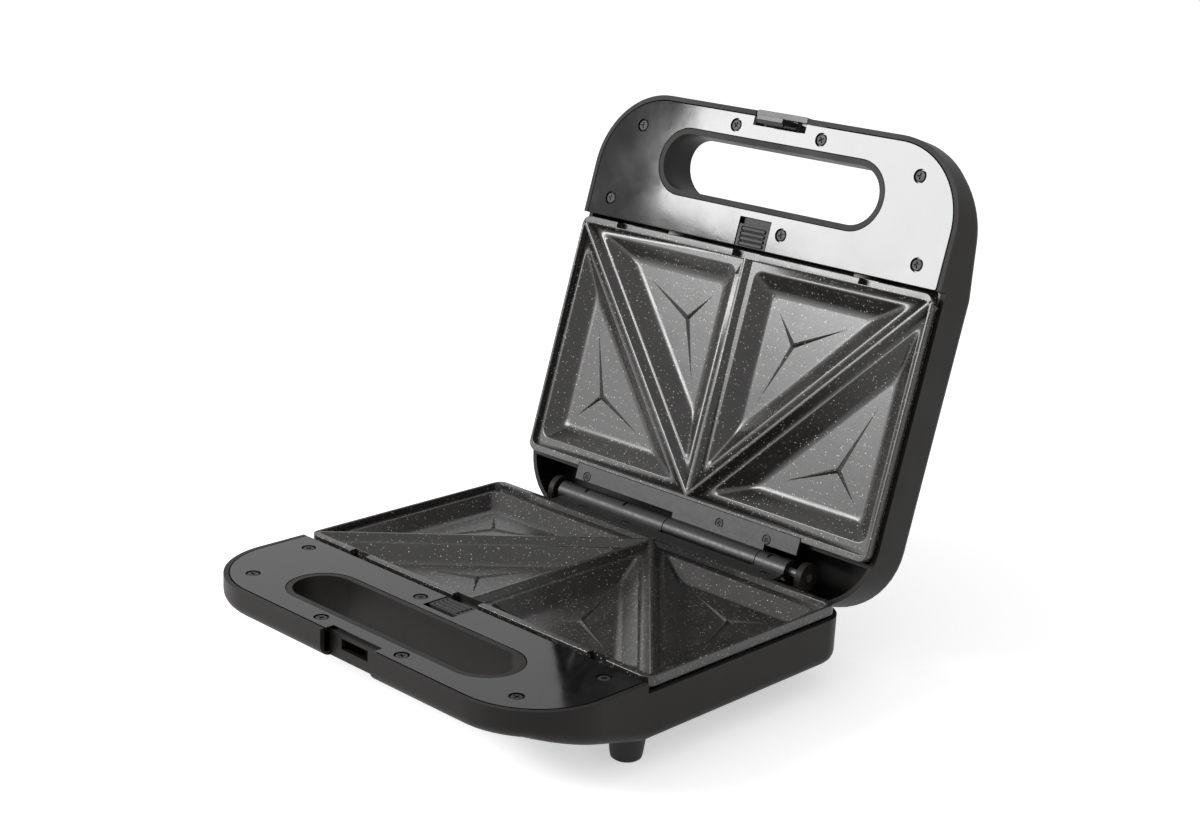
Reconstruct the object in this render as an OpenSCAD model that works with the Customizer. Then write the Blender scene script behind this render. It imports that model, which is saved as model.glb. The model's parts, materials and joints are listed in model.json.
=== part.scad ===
// Sandwich toaster with a hinged lid and two removable plates.
// Both halves are drawn in one half frame: x runs across (u), y runs from the hinge axis towards the
// handle (v), z stands out of the cover towards the other half (w), with w = 0 on the cover's face.
// in_base() and in_lid() set a half down. The origin is under the middle of the open toaster.

/* [Body] */
// Width of both housings
body_w = 228; // [216:1:250]
// Distance from the hinge axis to the handle's edge
reach = 213; // [205:1:235]
// Depth of the base housing below its cover
base_depth = 28; // [26:0.5:36]
// Depth of the lid housing behind its cover
lid_depth = 30.5; // [28:0.5:38]
// Depth of the base at the handle
base_handle_depth = 13.5; // [12.5:0.5:18]
// Depth of the lid at the handle
lid_handle_depth = 17.5; // [14:0.5:20]
// Wall of the moulded housings
wall = 2.4; // [2:0.1:3]
// Corner radius of the housings at the handle
corner_r = 41; // [34:1:44]
// Corner radius of the lid at the hinge
lid_rear_r = 36; // [28:1:40]
// Corner radius of the base at the hinge
base_rear_r = 16; // [9:1:16]
// Height of the gap between the two covers when shut
shut_gap = 3; // [2.6:0.1:4]

/* [Handle] */
// Length of the finger slot
slot_l = 135.8; // [110:1:150]
// Height of the finger slot
slot_h = 28.9; // [24:0.5:30]
// Width of the bar in front of the finger slot
bar_w = 17.55; // [16:0.05:24]
// Thickness of the handle cover
cover_t = 2; // [1.6:0.1:2.5]
// Gap round the handle cover
cover_gap = 0.6; // [0.4:0.1:1]

/* [Plate] */
// How far a plate's edge lies inside the housing's on each side
plate_margin = 2; // [2:0.1:6]
// Distance from the hinge axis to the plates
hinge_gap = 14.6; // [14.6:0.1:20]
// Height of the plate's rim above the cover's face
rim_h = 1.2; // [0.6:0.1:1.2]
// Height of the rim above the lands
rim_rise = 3; // [2.8:0.1:3.6]
// Depth of the pockets below the lands
pocket_depth = 7; // [5:0.1:7.4]
// How far a pocket's wall leans in
pocket_lean = 8; // [6:0.5:10]
// Thickness of the plate casting
plate_t = 2.6; // [2:0.1:3]
// Height of the cutting fins above the lands
fin_h = 3; // [2.4:0.1:3.2]

/* [Hinge] */
// How far the lid swings from shut to open, in degrees
open_angle = 106; // [95:1:110]
// Diameter of the hinge barrel
barrel_d = 10.6; // [9.6:0.2:11.4]
// Diameter of the hinge pin
pin_d = 4; // [3:0.2:5]
// Thickness of the hinge leaves
leaf_t = 1.6; // [1.2:0.1:1.6]

/* [Latch and buttons] */
// Width of the latch hook
hook_w = 16.2; // [12:0.2:17]
// Travel of the release buttons
button_travel = 3.2; // [2.4:0.1:3.2]
// Width of the release buttons
button_w = 19; // [15:0.5:20]

/* [Heater] */
// Diameter of the heating element
element_d = 6.5; // [6:0.1:7]
// Thickness of the reflector tray's sheet
sheet_t = 0.8; // [0.6:0.1:1]

/* [Feet] */
// Height of the feet
foot_h = 13; // [9:0.5:16]
// Diameter of a foot at its top
foot_d = 18; // [14:0.5:19]

/* [Hidden] */
$fn = 48;

// clearances
slack = 0.3;          // between parts that move or are fitted by hand
fit = 0.05;           // round a pin that turns
skin = 0.1;           // thickness of the slices that a hull is drawn from
over = 1;             // how far a cut runs past a face

// levels and places shared by both halves
axis_w = shut_gap / 2;                   // the hinge axis, seen from either cover
sink = 4.6;                              // how far the housing's rim lies under the cover beside a plate
slot_v = reach - bar_w - slot_h / 2;     // middle of the finger slot
window_v1 = reach - bar_w - slot_h - 6.45;   // handle edge of the button's window
button_l = 13;
button_v1 = window_v1 - button_travel - 0.3;
button_v0 = button_v1 - button_l;
plate_w = body_w - 2 * plate_margin;
plate_v1 = button_v0 - 0.2;              // handle edge of a plate
plate_v0 = hinge_gap;                    // hinge edge of a plate
land_w = rim_h - rim_rise;               // level of the lands
floor_w = land_w - pocket_depth;         // level of the pocket floors
under_w = floor_w - plate_t;             // lowest level of a plate
shelf_v0 = plate_v1 + 1.8;               // hinge side of the partition under the handle cover
cover_v0 = shelf_v0 + 0.3;               // hinge edge of the handle cover
base_rear_v = 6.4;                       // rear wall of the base, in front of the hinge axis
lid_rear_v = -14;                        // rear wall of the lid, behind the hinge axis
slope_v1 = reach - 13;                   // where the handle's depth begins
slope_v0 = slope_v1 - 55;                // where the flat bottom ends
edge_handle = 7;                         // rounding of the handle's outer edge
edge_body = 5;                           // rounding of the body's outer edge
bulkhead_v0 = plate_v0 - 2.2;            // wall between the heater and the hinge
// inner edge of the open lid's rear rim, seen from the base
open_rim_v = lid_rear_v * cos(open_angle) - (axis_w + sink + skin) * sin(open_angle);
cover_seat = -cover_t;                   // underside of the covers
cover_w = body_w - 2 * (wall + cover_gap);
notch_half = 16.4;                       // half the width of the latch notch
screw_corner = [body_w / 2 - 26.6, slot_v + slot_h / 2];
screw_side = [body_w / 2 - 16.34, cover_v0 + 9.5];
screw_front = [notch_half + 10.4, reach - 9];
screw_places = [[-screw_corner[0], screw_corner[1]], screw_corner, [-screw_side[0], screw_side[1]], screw_side,
    [-screw_front[0], screw_front[1]], screw_front, [-button_w / 2 - 7.7, cover_v0 + 9.3]];
element_w = under_w - slack - element_d / 2;
tray_w = element_w - element_d / 2 - slack - sheet_t;
tray_u = plate_w / 2 - 28;
tray_places = [for (v = [plate_v0 + 18.4, plate_v1 - 19.4]) for (s = [-1, 1]) [s * tray_u, v]];
element_u = plate_w / 2 - 52;            // half the width of the heater's loop
element_v = plate_v0 + 37.4;             // where the loop's sides begin to bend
element_bend = 20;
ceramic_d = element_d + 2.1;
skirt = 4.6;                             // height of a plate's outer edge
screw_d = 2.6;
leaf_screw_d = 2.2;
foot_screw_d = 3;
leaf_half = body_w / 2 - 40.4;           // half the length of the leaves
hinge_places = [for (u = [leaf_half - 7.6, -24.7, 19 - leaf_half]) [u, 10.5]];
leaf_w = axis_w - 0.1 - leaf_t;          // lower face of a hinge leaf
leaf_v0 = 8;
leaf_v1 = 16.4;
ear_u = leaf_half + 7;                   // inner face of the base's hinge ears
ear_t = 3.4;
notch_v = reach - 7.5;                   // where the notch in the covers begins
keeper_v = reach - 5.6;                  // front face of the keeper in the base
keeper_low = -3.4;                       // underside of the keeper
hook_v = keeper_v + slack;               // inner face of the latch hook
hook_low = shut_gap - keeper_low + 0.2;  // level of the hook's nose, seen from the lid
hook_tip = hook_low + 2.3;               // how far the hook stands out of the lid
lever_v0 = reach - 9.4;                  // inner wall of the lever's recess
lever_pin_d = 2;
pivot_v = reach - 5.2;
pivot_w = -4.5;
cheek_u = hook_w / 2 + 2.1;              // middle of the cheeks beside the lever
wing = 2.8;                              // how far the button reaches under the cover on each side
wing_w0 = -6.5;
spring_w = -9.7;
foot_front = [body_w / 2 - 16, slope_v0 - 6];
foot_rear = [body_w / 2 - 38, base_rear_v + 23.6];
foot_places = [for (s = [-1, 1]) for (p = [foot_front, foot_rear]) [s * p[0], p[1]]];
gland_u = 23 - body_w / 2;
gland_w = -16;
lamp_v = slope_v0 + 12;
lamp_u = 4.6;
channel_u = -body_w / 2 + wall + 2.2;    // middle of the lead channel beside the tray
block_u = 24 - body_w / 2;               // outer end of the terminal block
block_l = 28;
block_w = -11;                           // level of the leads in the terminal block
fuse_u = block_u + block_l + 18;
fuse_v = shelf_v0 + wall + 5;
fuse_w = -9;
thermostat_u = element_u - 28;

// the lid's furthest point when open, found on the rounded edge of its handle
function edge_y(a) = -cos(open_angle) * (reach - edge_handle * (1 - cos(a)))
    + sin(open_angle) * (axis_w + lid_handle_depth - edge_handle * (1 - sin(a)));
back_reach = max([for (a = [0 : 15 : 90]) edge_y(a)]);
hinge_y = (reach - back_reach) / 2;
cover_z = foot_h + base_depth;

module in_base() {
    translate([0, hinge_y, cover_z]) mirror([0, 1, 0]) children();
}

module in_lid() {
    translate([0, hinge_y, cover_z + axis_w]) rotate([-open_angle, 0, 0])
        translate([0, 0, axis_w]) rotate([0, 180, 0]) mirror([0, 1, 0]) children();
}

// ---- shared shapes ----

// rectangle from v0 to v1 with its own radius at each end
module outline(w, v0, v1, r0, r1) {
    intersection() {
        translate([-w / 2, v0]) square([w, v1 - v0]);
        union() {
            translate([-w / 2, v0 + r0]) square([w, v1 - r1 - v0 - r0]);
            translate([r0 - w / 2, v0]) square([w - 2 * r0, r0 + skin]);
            translate([r1 - w / 2, v1 - r1 - skin]) square([w - 2 * r1, r1 + skin]);
            for (s = [-1, 1]) {
                translate([s * (w / 2 - r0), v0 + r0]) circle(r0);
                translate([s * (w / 2 - r1), v1 - r1]) circle(r1);
            }
        }
    }
}

// slot with round ends, centred on the handle slot
module stadium(l, h) {
    translate([0, slot_v]) {
        square([l - h, h], center = true);
        for (s = [-1, 1]) translate([s * (l - h) / 2, 0]) circle(h / 2);
    }
}

module box(u0, u1, v0, v1, w0, w1) {
    translate([u0, v0, w0]) cube([u1 - u0, v1 - v0, w1 - w0]);
}

// section of a trough: upright sides and rounded lower edges
module trough(w, e, low, top) {
    translate([e - w / 2, low]) square([w - 2 * e, top - low]);
    translate([-w / 2, low + e]) square([w, top - low - e]);
    for (s = [-1, 1]) translate([s * (w / 2 - e), low + e]) circle(e);
}

// half of that section, from an axis out to r
module half_trough(r, e, low, top) {
    translate([0, low]) square([r - e, top - low]);
    translate([0, low + e]) square([r, top - low - e]);
    translate([r - e, low + e]) circle(e);
}

// tub with its lower edge rounded by e: square at v0, with corners of radius r at v1
module tub(w, v0, v1, r, e, low, top) {
    translate([0, v1 - r, 0]) rotate([90, 0, 0]) linear_extrude(v1 - r - v0) trough(w, e, low, top);
    translate([r - w / 2, v1 - r, 0]) rotate([90, 0, 90]) linear_extrude(w - 2 * r) half_trough(r, e, low, top);
    for (s = [0, 1]) translate([(1 - 2 * s) * (w / 2 - r), v1 - r, 0]) rotate([0, 0, 90 * s])
        rotate_extrude(angle = 90) half_trough(r, e, low, top);
}

function slope_lean(depth, handle) = atan((depth - handle) / (slope_v1 - slope_v0));

// body of a housing, shrunk by t all round, before its bottom is sloped: its own corners at the hinge,
// the handle's corners at the other end
module body_tub(depth, v0, r0, t, top) {
    intersection() {
        mirror([0, 1, 0]) tub(body_w - 2 * t, -slope_v1 - 0.5, -v0 - t, r0 - t, edge_body - t, t - depth, top);
        tub(body_w - 2 * t, v0 - over, reach - t, corner_r - t, edge_body - t, t - depth - over, top + over);
    }
}

// sets a shape down on the slope that runs up towards the handle
module on_slope(depth, handle, t) {
    translate([0, slope_v0, -depth]) rotate([slope_lean(depth, handle), 0, 0]) translate([0, 100, t]) children();
}

module body_solid(depth, handle, v0, r0) {
    intersection() {
        body_tub(depth, v0, r0, 0, -sink - skin);
        on_slope(depth, handle, 0) rotate([90, 0, 0]) linear_extrude(300) trough(body_w + 1, edge_body, 0, 120);
    }
}

module body_cavity(depth, handle, v0, r0) {
    intersection() {
        body_tub(depth, v0, r0, wall, over);
        on_slope(depth, handle, wall) translate([-body_w, -reach - 100, 0]) cube([2 * body_w, reach + 200, 120]);
    }
}

module handle_solid(handle, t, top) {
    tub(body_w - 2 * t, shelf_v0 + t, reach - t, corner_r - t, edge_handle - t, t - handle, top);
}

module outer_solid(depth, handle, v0, r0) {
    body_solid(depth, handle, v0, r0);
    handle_solid(handle, 0, -skin);
}

// helix of a compression spring along v
function coil_point(k, n, r, l, turns) = [r * cos(360 * turns * k / n), l * k / n, r * sin(360 * turns * k / n)];

// tube swept along points, with its end faces square to its run
module tube(pts, r, sides = 8) {
    n = len(pts);
    function dir(i) = let (a = pts[max(i - 1, 0)], b = pts[min(i + 1, n - 1)]) (b - a) / norm(b - a);
    function side(d) = let (s = abs(d.z) > 0.9 ? cross(d, [1, 0, 0]) : cross(d, [0, 0, 1])) s / norm(s);
    rings = [for (i = [0 : n - 1]) let (d = dir(i), s = side(d), t = cross(d, s))
        for (k = [0 : sides - 1]) pts[i] + r * (cos(360 * k / sides) * s + sin(360 * k / sides) * t)];
    walls = [for (i = [0 : n - 2]) for (k = [0 : sides - 1]) let (m = (k + 1) % sides)
        each [[i * sides + k, (i + 1) * sides + m, i * sides + m], [i * sides + k, (i + 1) * sides + k, (i + 1) * sides + m]]];
    caps = [[for (k = [0 : sides - 1]) k], [for (k = [sides - 1 : -1 : 0]) (n - 1) * sides + k]];
    polyhedron(rings, concat(walls, caps));
}

// cross-head screw standing along w with the underside of its head at 0
module screw(head_d, head_h, shank_d, length) {
    difference() {
        union() {
            cylinder(d = head_d, h = head_h);
            translate([0, 0, -length]) cylinder(d = shank_d, h = length + skin);
        }
        for (a = [0, 90]) rotate([0, 0, a])
            translate([-head_d * 0.3, -head_d * 0.07, head_h * 0.45]) cube([head_d * 0.6, head_d * 0.14, head_h]);
    }
}

// ---- housings ----

module boss(place, top, d = 7) {
    translate([place[0], place[1], -40]) cylinder(d = d, h = 40 + top);
}

// what stands inside a housing, trimmed by its outer shape
module inner_features() {
    linear_extrude(60, center = true) difference() {
        stadium(slot_l + 5.6, slot_h + 5.6);
        stadium(slot_l + 1, slot_h + 1);
    }
    translate([0, 0, -30]) linear_extrude(30) difference() {
        stadium(slot_l + 5.6, slot_h + 5.6);
        stadium(slot_l, slot_h);
    }
    for (p = screw_places) boss(p, cover_seat);
    for (p = tray_places) boss(p, tray_w);
    box(-body_w / 2, body_w / 2, bulkhead_v0, bulkhead_v0 + 2, -40, -sink);
    difference() {
        box(-body_w / 2, body_w / 2, shelf_v0, shelf_v0 + wall, -40, cover_seat);
        for (s = [-1, 1]) translate([s * element_u, shelf_v0 - over, element_w]) rotate([-90, 0, 0])
            cylinder(d = ceramic_d + 2 * fit, h = wall + 2 * over);
        box(-button_w / 2 - wing - 0.6, button_w / 2 + wing + 0.6, shelf_v0 - over, shelf_v0 + wall + over,
            spring_w - 3.6, 0);
    }
    // ledges that the release button slides on
    for (s = [-1, 1]) translate([s * (button_w / 2 + 1.5), 0, 0])
        box(-1.8, 1.8, shelf_v0, slot_v - slot_h / 2 - 2, -9.4, wing_w0 - slack);
}

module housing(depth, handle, v0, r0) {
    difference() {
        union() {
            difference() {
                outer_solid(depth, handle, v0, r0);
                body_cavity(depth, handle, v0, r0);
                handle_solid(handle, wall + skin, over);
            }
            intersection() {
                outer_solid(depth, handle, v0, r0);
                inner_features();
            }
            // pads that carry the plate
            for (s = [-1, 1]) for (v = [plate_v0 + 19.4, plate_v1 - 21.4]) {
                box(s * (plate_w / 2 - 0.1) - 1, s * (plate_w / 2 - 0.1) + 1, v, v + 8, -sink - 2, -sink - skin);
                box(s * (plate_w / 2 - 0.7) - 0.6, s * (plate_w / 2 - 0.7) + 0.6, v, v + 8, -sink - 2, rim_h - skirt);
            }
            for (s = [-1, 1]) translate([s * (plate_w / 2 - 22), 0, 0])
                box(-4, 4, plate_v1 - 1, shelf_v0 + 1, -sink - 4, rim_h - skirt);
        }
        // finger slot and screw holes
        translate([0, 0, -depth - over]) linear_extrude(depth + 2 * over) stadium(slot_l, slot_h);
        for (p = screw_places) translate([p[0], p[1], -11]) cylinder(d = screw_d + 2 * fit, h = 12);
        for (p = tray_places) translate([p[0], p[1], tray_w - 4.7]) cylinder(d = screw_d + 2 * fit, h = 6);
        // way for the leads beside the tray
        box(channel_u - 2.1, channel_u + 7.4, bulkhead_v0 - over, bulkhead_v0 + 2 + over, -20, 0);
        box(channel_u - 2, channel_u + 4, shelf_v0 - over, shelf_v0 + wall + over, -20, 0);
    }
}

module hinge_screw_holes() {
    for (p = hinge_places) translate([p[0], p[1], leaf_w - 10]) cylinder(d = leaf_screw_d + 2 * fit, h = 12);
}

module base_housing() {
    color("#2c2a29") in_base() difference() {
        union() {
            difference() {
                housing(base_depth, base_handle_depth, base_rear_v, base_rear_r);
                // finger recess in the front
                box(-notch_half, notch_half, keeper_v - 0.2, reach + over, -base_handle_depth - over, over);
            }
            // wall of the recess, with the keeper that the hook snaps under as its upper edge
            difference() {
                box(-notch_half - 0.5, notch_half + 0.5, keeper_v - wall, keeper_v, 0.8 - base_handle_depth, -2.1);
                box(-hook_w / 2 - 0.6, hook_w / 2 + 0.6, keeper_v - 4, keeper_v + over, -8.4, keeper_low);
            }
            box(-notch_half - 0.5, notch_half + 0.5, notch_v + 0.1, keeper_v, keeper_low + 0.2, -1.5);
            // posts under the hinge leaf
            for (p = hinge_places) translate([p[0], p[1], -20]) cylinder(d = 7, h = 20 + leaf_w);
            // stand of the terminal block
            intersection() {
                outer_solid(base_depth, base_handle_depth, base_rear_v, base_rear_r);
                translate([block_u + block_l / 2, shelf_v0 + 9.8, 0]) box(-3, 3, -4, 4, -base_depth, block_w - 5);
            }
            // ears that hold the hinge pin
            for (s = [-1, 1]) translate([s * (ear_u + ear_t / 2) - ear_t / 2, 0, 0]) {
                translate([0, 0, axis_w]) rotate([0, 90, 0]) cylinder(d = 14, h = ear_t);
                box(0, ear_t, 0, base_rear_v + 1, -12, axis_w);
            }
            // ribs that stop the open lid
            for (u = [-50, 0, 50]) box(u - 3, u + 3, open_rim_v + 0.4, base_rear_v + 1, -15, -9.4);
        }
        hinge_screw_holes();
        translate([-body_w / 2, 0, axis_w]) rotate([0, 90, 0]) cylinder(d = pin_d + 2 * fit, h = body_w);
        translate([gland_u, base_rear_v - over, gland_w]) rotate([-90, 0, 0]) cylinder(d = 10, h = wall + 2 * over);
        for (p = foot_places)
            translate([p[0], p[1], -base_depth - over]) cylinder(d = foot_screw_d + 2 * fit, h = wall + 2 * over);
    }
}

module lamp_frame(u) {
    lean = slope_lean(lid_depth, lid_handle_depth);
    translate([u, lamp_v, (lamp_v - slope_v0) * tan(lean) - lid_depth]) rotate([lean, 0, 0]) children();
}

module lid_housing() {
    color("#2c2a29") in_lid() difference() {
        union() {
            difference() {
                housing(lid_depth, lid_handle_depth, lid_rear_v, lid_rear_r);
                // recess that the latch lever swings in
                box(-notch_half, notch_half, lever_v0, reach + over, -lid_handle_depth - over, over);
            }
            box(-notch_half - 0.5, notch_half + 0.5, lever_v0 - 2, lever_v0, 0.8 - lid_handle_depth, -2.1);
            for (p = hinge_places) translate([p[0], p[1], 1 - lid_depth]) cylinder(d = 7, h = lid_depth - 1 + leaf_w);
            // cheeks that hold the latch pin
            for (s = [-1, 1]) box(s * cheek_u - 1, s * cheek_u + 1, lever_v0 - 1, pivot_v + 1.9, -7.2, -2.1);
        }
        hinge_screw_holes();
        translate([-14, pivot_v, pivot_w]) rotate([0, 90, 0]) cylinder(d = lever_pin_d + 2 * fit, h = 28);
        for (s = [-1, 1]) lamp_frame(s * lamp_u) translate([0, 0, -over]) cylinder(d = 6.4, h = 8);
    }
}

module handle_cover() {
    difference() {
        translate([0, 0, -cover_t]) linear_extrude(cover_t) difference() {
            outline(cover_w, cover_v0, reach - wall - cover_gap, 1, corner_r - wall - cover_gap);
            stadium(slot_l + 6.4, slot_h + 6.4);
            translate([-button_w / 2 - 0.5, cover_v0 - over]) square([button_w + 1, window_v1 - cover_v0 + over]);
            translate([-notch_half, notch_v]) square([2 * notch_half, 20]);
        }
        for (p = screw_places) translate([p[0], p[1], 0]) {
            translate([0, 0, -1.3]) cylinder(d = 7, h = 2);
            translate([0, 0, -cover_t - over]) cylinder(d = 3.4, h = 5);
        }
    }
}

module cover_screws() {
    for (p = screw_places) translate([p[0], p[1], -1.3]) rotate([0, 0, p[0]]) screw(5.8, 1.1, screw_d, 9);
}

// ---- plates ----

slant = [plate_w / 2 - 1.6, plate_v1 - 3.7 - (plate_v0 + 3.7)];   // run of a diagonal fin
slant_l = norm(slant);
apex_v = plate_v0 + 3.7;
band = 6.5;                              // from a fin's middle to the pocket beside it
side_u = plate_w / 2 - 5.2;              // outer edge of the outer pockets
low_v = apex_v + 5.1;                    // hinge edge of the outer pockets
high_v = plate_v1 - 8.2;                 // handle edge of the inner pockets

// u on the edge beside a diagonal fin, at a given v; s = 1 outside the fin, -1 inside
function fin_edge_u(v, s) = (slant[0] * (v - apex_v) + s * band * slant_l) / slant[1];
function fin_edge_v(u, s) = apex_v + (slant[1] * u - s * band * slant_l) / slant[0];

outer_pocket = [[fin_edge_u(low_v, 1), low_v], [side_u, low_v], [side_u, fin_edge_v(side_u, 1)]];
inner_pocket = [[band, fin_edge_v(band, -1)], [fin_edge_u(high_v, -1), high_v], [band, high_v]];

function side_l(t, i) = norm(t[(i + 1) % 3] - t[(i + 2) % 3]);
function perimeter(t) = side_l(t, 0) + side_l(t, 1) + side_l(t, 2);
function incentre(t) = (side_l(t, 0) * t[0] + side_l(t, 1) * t[1] + side_l(t, 2) * t[2]) / perimeter(t);
function inradius(t) = abs(cross(t[1] - t[0], t[2] - t[0])) / perimeter(t);

// triangle about its incentre, moved in by a distance, with its corners rounded
module rounded_triangle(t, inset, r) {
    k = (inradius(t) - inset - r) / inradius(t);
    corners = [for (p = t) (p - incentre(t)) * k];
    polygon([for (i = [0 : 2])
        let (a = corners[i] - corners[(i + 2) % 3], b = corners[(i + 1) % 3] - corners[i],
             from = atan2(a.y, a.x) - 90, turn = acos(a * b / norm(a) / norm(b)))
        for (j = [0 : 5]) corners[i] + r * [cos(from + turn * j / 5), sin(from + turn * j / 5)]]);
}

// tapered block under a pocket's outline, grown by g all round, from its floor up to the lands
module pocket_block(t, g, low, high) {
    lean = pocket_lean * (high - low) / pocket_depth;
    grow = pocket_lean * (land_w - high) / pocket_depth - g;
    big = inradius(t) - grow;
    translate([incentre(t).x, incentre(t).y, low])
        linear_extrude(high - low, scale = big / (big - lean)) rounded_triangle(t, grow + lean, 3 * (big - lean) / big);
}

// three raised creases that run from the middle of a pocket towards its corners
module creases(t) {
    translate([incentre(t).x, incentre(t).y, floor_w - 0.5]) linear_extrude(1.3)
        for (p = t) let (d = p - incentre(t)) rotate([0, 0, atan2(d.y, d.x)])
            polygon([[-0.8, -0.9], [0.45 * norm(d), -0.1], [0.45 * norm(d), 0.1], [-0.8, 0.9]]);
}

module on_both_sides() {
    children();
    mirror([1, 0, 0]) children();
}

module plate() {
    lip = 3.7;
    difference() {
        union() {
            difference() {
                union() {
                    translate([0, 0, rim_h - skirt]) linear_extrude(skirt) outline(plate_w, plate_v0, plate_v1, 5, 5);
                    translate([0, 0, land_w - plate_t]) linear_extrude(plate_t + 0.2)
                        outline(plate_w - 2.8, plate_v0 + 1.4, plate_v1 - 1.4, 4, 4);
                    on_both_sides() for (t = [outer_pocket, inner_pocket])
                        pocket_block(t, 1.9, under_w, land_w - plate_t + 0.2);
                }
                translate([0, 0, land_w]) linear_extrude(10)
                    outline(plate_w - 3.2, plate_v0 + lip, plate_v1 - lip, 2, 2);
                on_both_sides() for (t = [outer_pocket, inner_pocket]) pocket_block(t, 0, floor_w, land_w + 0.2);
            }
            on_both_sides() for (t = [outer_pocket, inner_pocket]) creases(t);
            // cutting fins
            box(-1.5, 1.5, apex_v - 0.5, plate_v1 - lip + 0.5, land_w - 1, land_w + fin_h);
            on_both_sides() translate([0, apex_v, land_w - 1]) rotate([0, 0, atan2(slant[1], slant[0])])
                translate([0, -1.5, 0]) cube([slant_l + 0.6, 3, fin_h + 1]);
            // tongues that hook under the hinge leaf
            for (u = [-40, 0, 40]) box(u - 5, u + 5, plate_v0 - 2.8, plate_v0 + 4, rim_h - 4.5, rim_h - 2.9);
        }
        // notches for the hinge leaf, the button's tongue and the two flange marks
        box(-leaf_half - 0.5, leaf_half + 0.5, plate_v0 - over, leaf_v1 + slack, leaf_w - slack, 5);
        box(-7, 7, plate_v1 - 3.4, plate_v1 + over, -1.3, 5);
        for (u = [-74.8, 82]) box(u - 4.4, u + 4.4, plate_v1 - 2.4, plate_v1 + over, rim_h - 1, 5);
    }
}

// ---- heater ----

module reflector_tray() {
    difference() {
        translate([0, 0, tray_w]) linear_extrude(-6.5 - tray_w) outline(plate_w - 8, plate_v0 + 6, plate_v1 - 6, 6, 6);
        translate([0, 0, tray_w + sheet_t]) linear_extrude(20)
            outline(plate_w - 8 - 2 * sheet_t, plate_v0 + 6 + sheet_t, plate_v1 - 6 - sheet_t, 5.2, 5.2);
        for (p = tray_places) translate([p[0], p[1], tray_w - over]) cylinder(d = 3.2, h = 4);
        for (s = [-1, 1]) translate([s * element_u, plate_v1 - 9, element_w]) rotate([-90, 0, 0])
            cylinder(d = ceramic_d + 2 * slack, h = 5);
    }
}

module tray_screws() {
    for (p = tray_places) translate([p[0], p[1], tray_w + sheet_t]) screw(5.4, 1.4, screw_d, 5);
}

module heating_element() {
    v_end = plate_v1 - 1;
    translate([0, 0, element_w]) {
        for (s = [-1, 1]) {
            translate([s * element_u, element_v, 0]) rotate([-90, 0, 0]) cylinder(d = element_d, h = v_end - element_v);
            translate([s * (element_u - element_bend), element_v, 0]) rotate([0, 0, s > 0 ? -90 : 180])
                rotate_extrude(angle = 90) translate([element_bend, 0]) circle(d = element_d);
        }
        translate([element_bend - element_u, element_v - element_bend, 0]) rotate([0, 90, 0])
            cylinder(d = element_d, h = 2 * (element_u - element_bend));
    }
}

// sheet straps over the element, bent down to the tray
module element_clips() {
    for (s = [-1, 1]) for (v = [element_v + 14, plate_v1 - 31.4]) translate([s * element_u, v, 0]) difference() {
        box(-element_d / 2 - 1.2, element_d / 2 + 1.2, -3, 3, tray_w + sheet_t, element_w + element_d / 2 + 0.2);
        translate([0, -4, element_w]) rotate([-90, 0, 0]) cylinder(d = element_d + 2 * fit, h = 8);
        box(-element_d / 2 - fit, element_d / 2 + fit, -4, 4, tray_w, element_w);
    }
}

module element_terminals() {
    for (s = [-1, 1]) translate([s * element_u, 0, element_w]) rotate([-90, 0, 0]) {
        difference() {
            translate([0, 0, plate_v1 - 8.4]) cylinder(d = ceramic_d, h = 13);
            translate([0, 0, plate_v1 - 9]) cylinder(d = element_d + 2 * fit, h = 8.1);
        }
        translate([0, 0, plate_v1 + 4.5]) cylinder(d = 2.6, h = 7);
    }
}

module release_button() {
    ribs = 5;
    pitch = 2.3;
    difference() {
        union() {
            box(-button_w / 2, button_w / 2, button_v0 + 2, button_v1, -4, -0.6);
            box(-button_w / 2 - wing, button_w / 2 + wing, button_v0 + 2.4, button_v1 - 1, wing_w0, cover_seat - slack);
            box(-6.5, 6.5, plate_v1 - 2.8, button_v0 + 3, -1, 0.2);
            box(-5, 5, button_v0 + 2.4, button_v0 + 4.4, spring_w - 3, -4);
        }
        for (k = [0 : ribs - 1]) translate([0, button_v0 + 3.2 + k * pitch, -0.6]) rotate([0, 90, 0])
            cylinder(d = 1.2, h = button_w - 2, center = true);
    }
}

module release_spring() {
    from = button_v0 + 4.5;
    length = slot_v - slot_h / 2 - 2.9 - from;
    turns = 6;
    steps = 12 * turns;
    translate([0, from, spring_w]) tube([for (k = [0 : steps]) coil_point(k, steps, 2.4, length - 0.8, turns)
        + [0, 0.4, 0]], 0.35, 6);
}

// ---- hinge ----

// leaf with its knuckles between the listed pairs of u
module hinge_leaf(knuckles) {
    difference() {
        union() {
            box(-leaf_half, leaf_half, leaf_v0, leaf_v1, leaf_w, leaf_w + leaf_t);
            for (k = knuckles) {
                translate([k[0], 0, axis_w]) rotate([0, 90, 0]) cylinder(d = barrel_d, h = k[1] - k[0]);
                box(max(k[0], -leaf_half), min(k[1], leaf_half), 2, leaf_v0 + over, leaf_w, leaf_w + leaf_t);
            }
        }
        translate([-body_w / 2, 0, axis_w]) rotate([0, 90, 0]) cylinder(d = pin_d + 2 * fit, h = body_w);
        for (p = hinge_places) translate([p[0], p[1], leaf_w]) {
            translate([0, 0, -over]) cylinder(d = leaf_screw_d + 0.6, h = 5);
            translate([0, 0, leaf_t - 0.6]) cylinder(d = 5, h = 2);
        }
    }
}

module hinge_screws() {
    for (p = hinge_places) translate([p[0], p[1], leaf_w + leaf_t - 0.6]) screw(4.6, 0.6, leaf_screw_d, 7.4);
}

base_knuckles = [[-leaf_half - 5, -5.6], [leaf_half - 19, leaf_half - 1]];
lid_knuckles = [[19.5 - leaf_half, 5.1]];

// ---- controls ----

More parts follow.
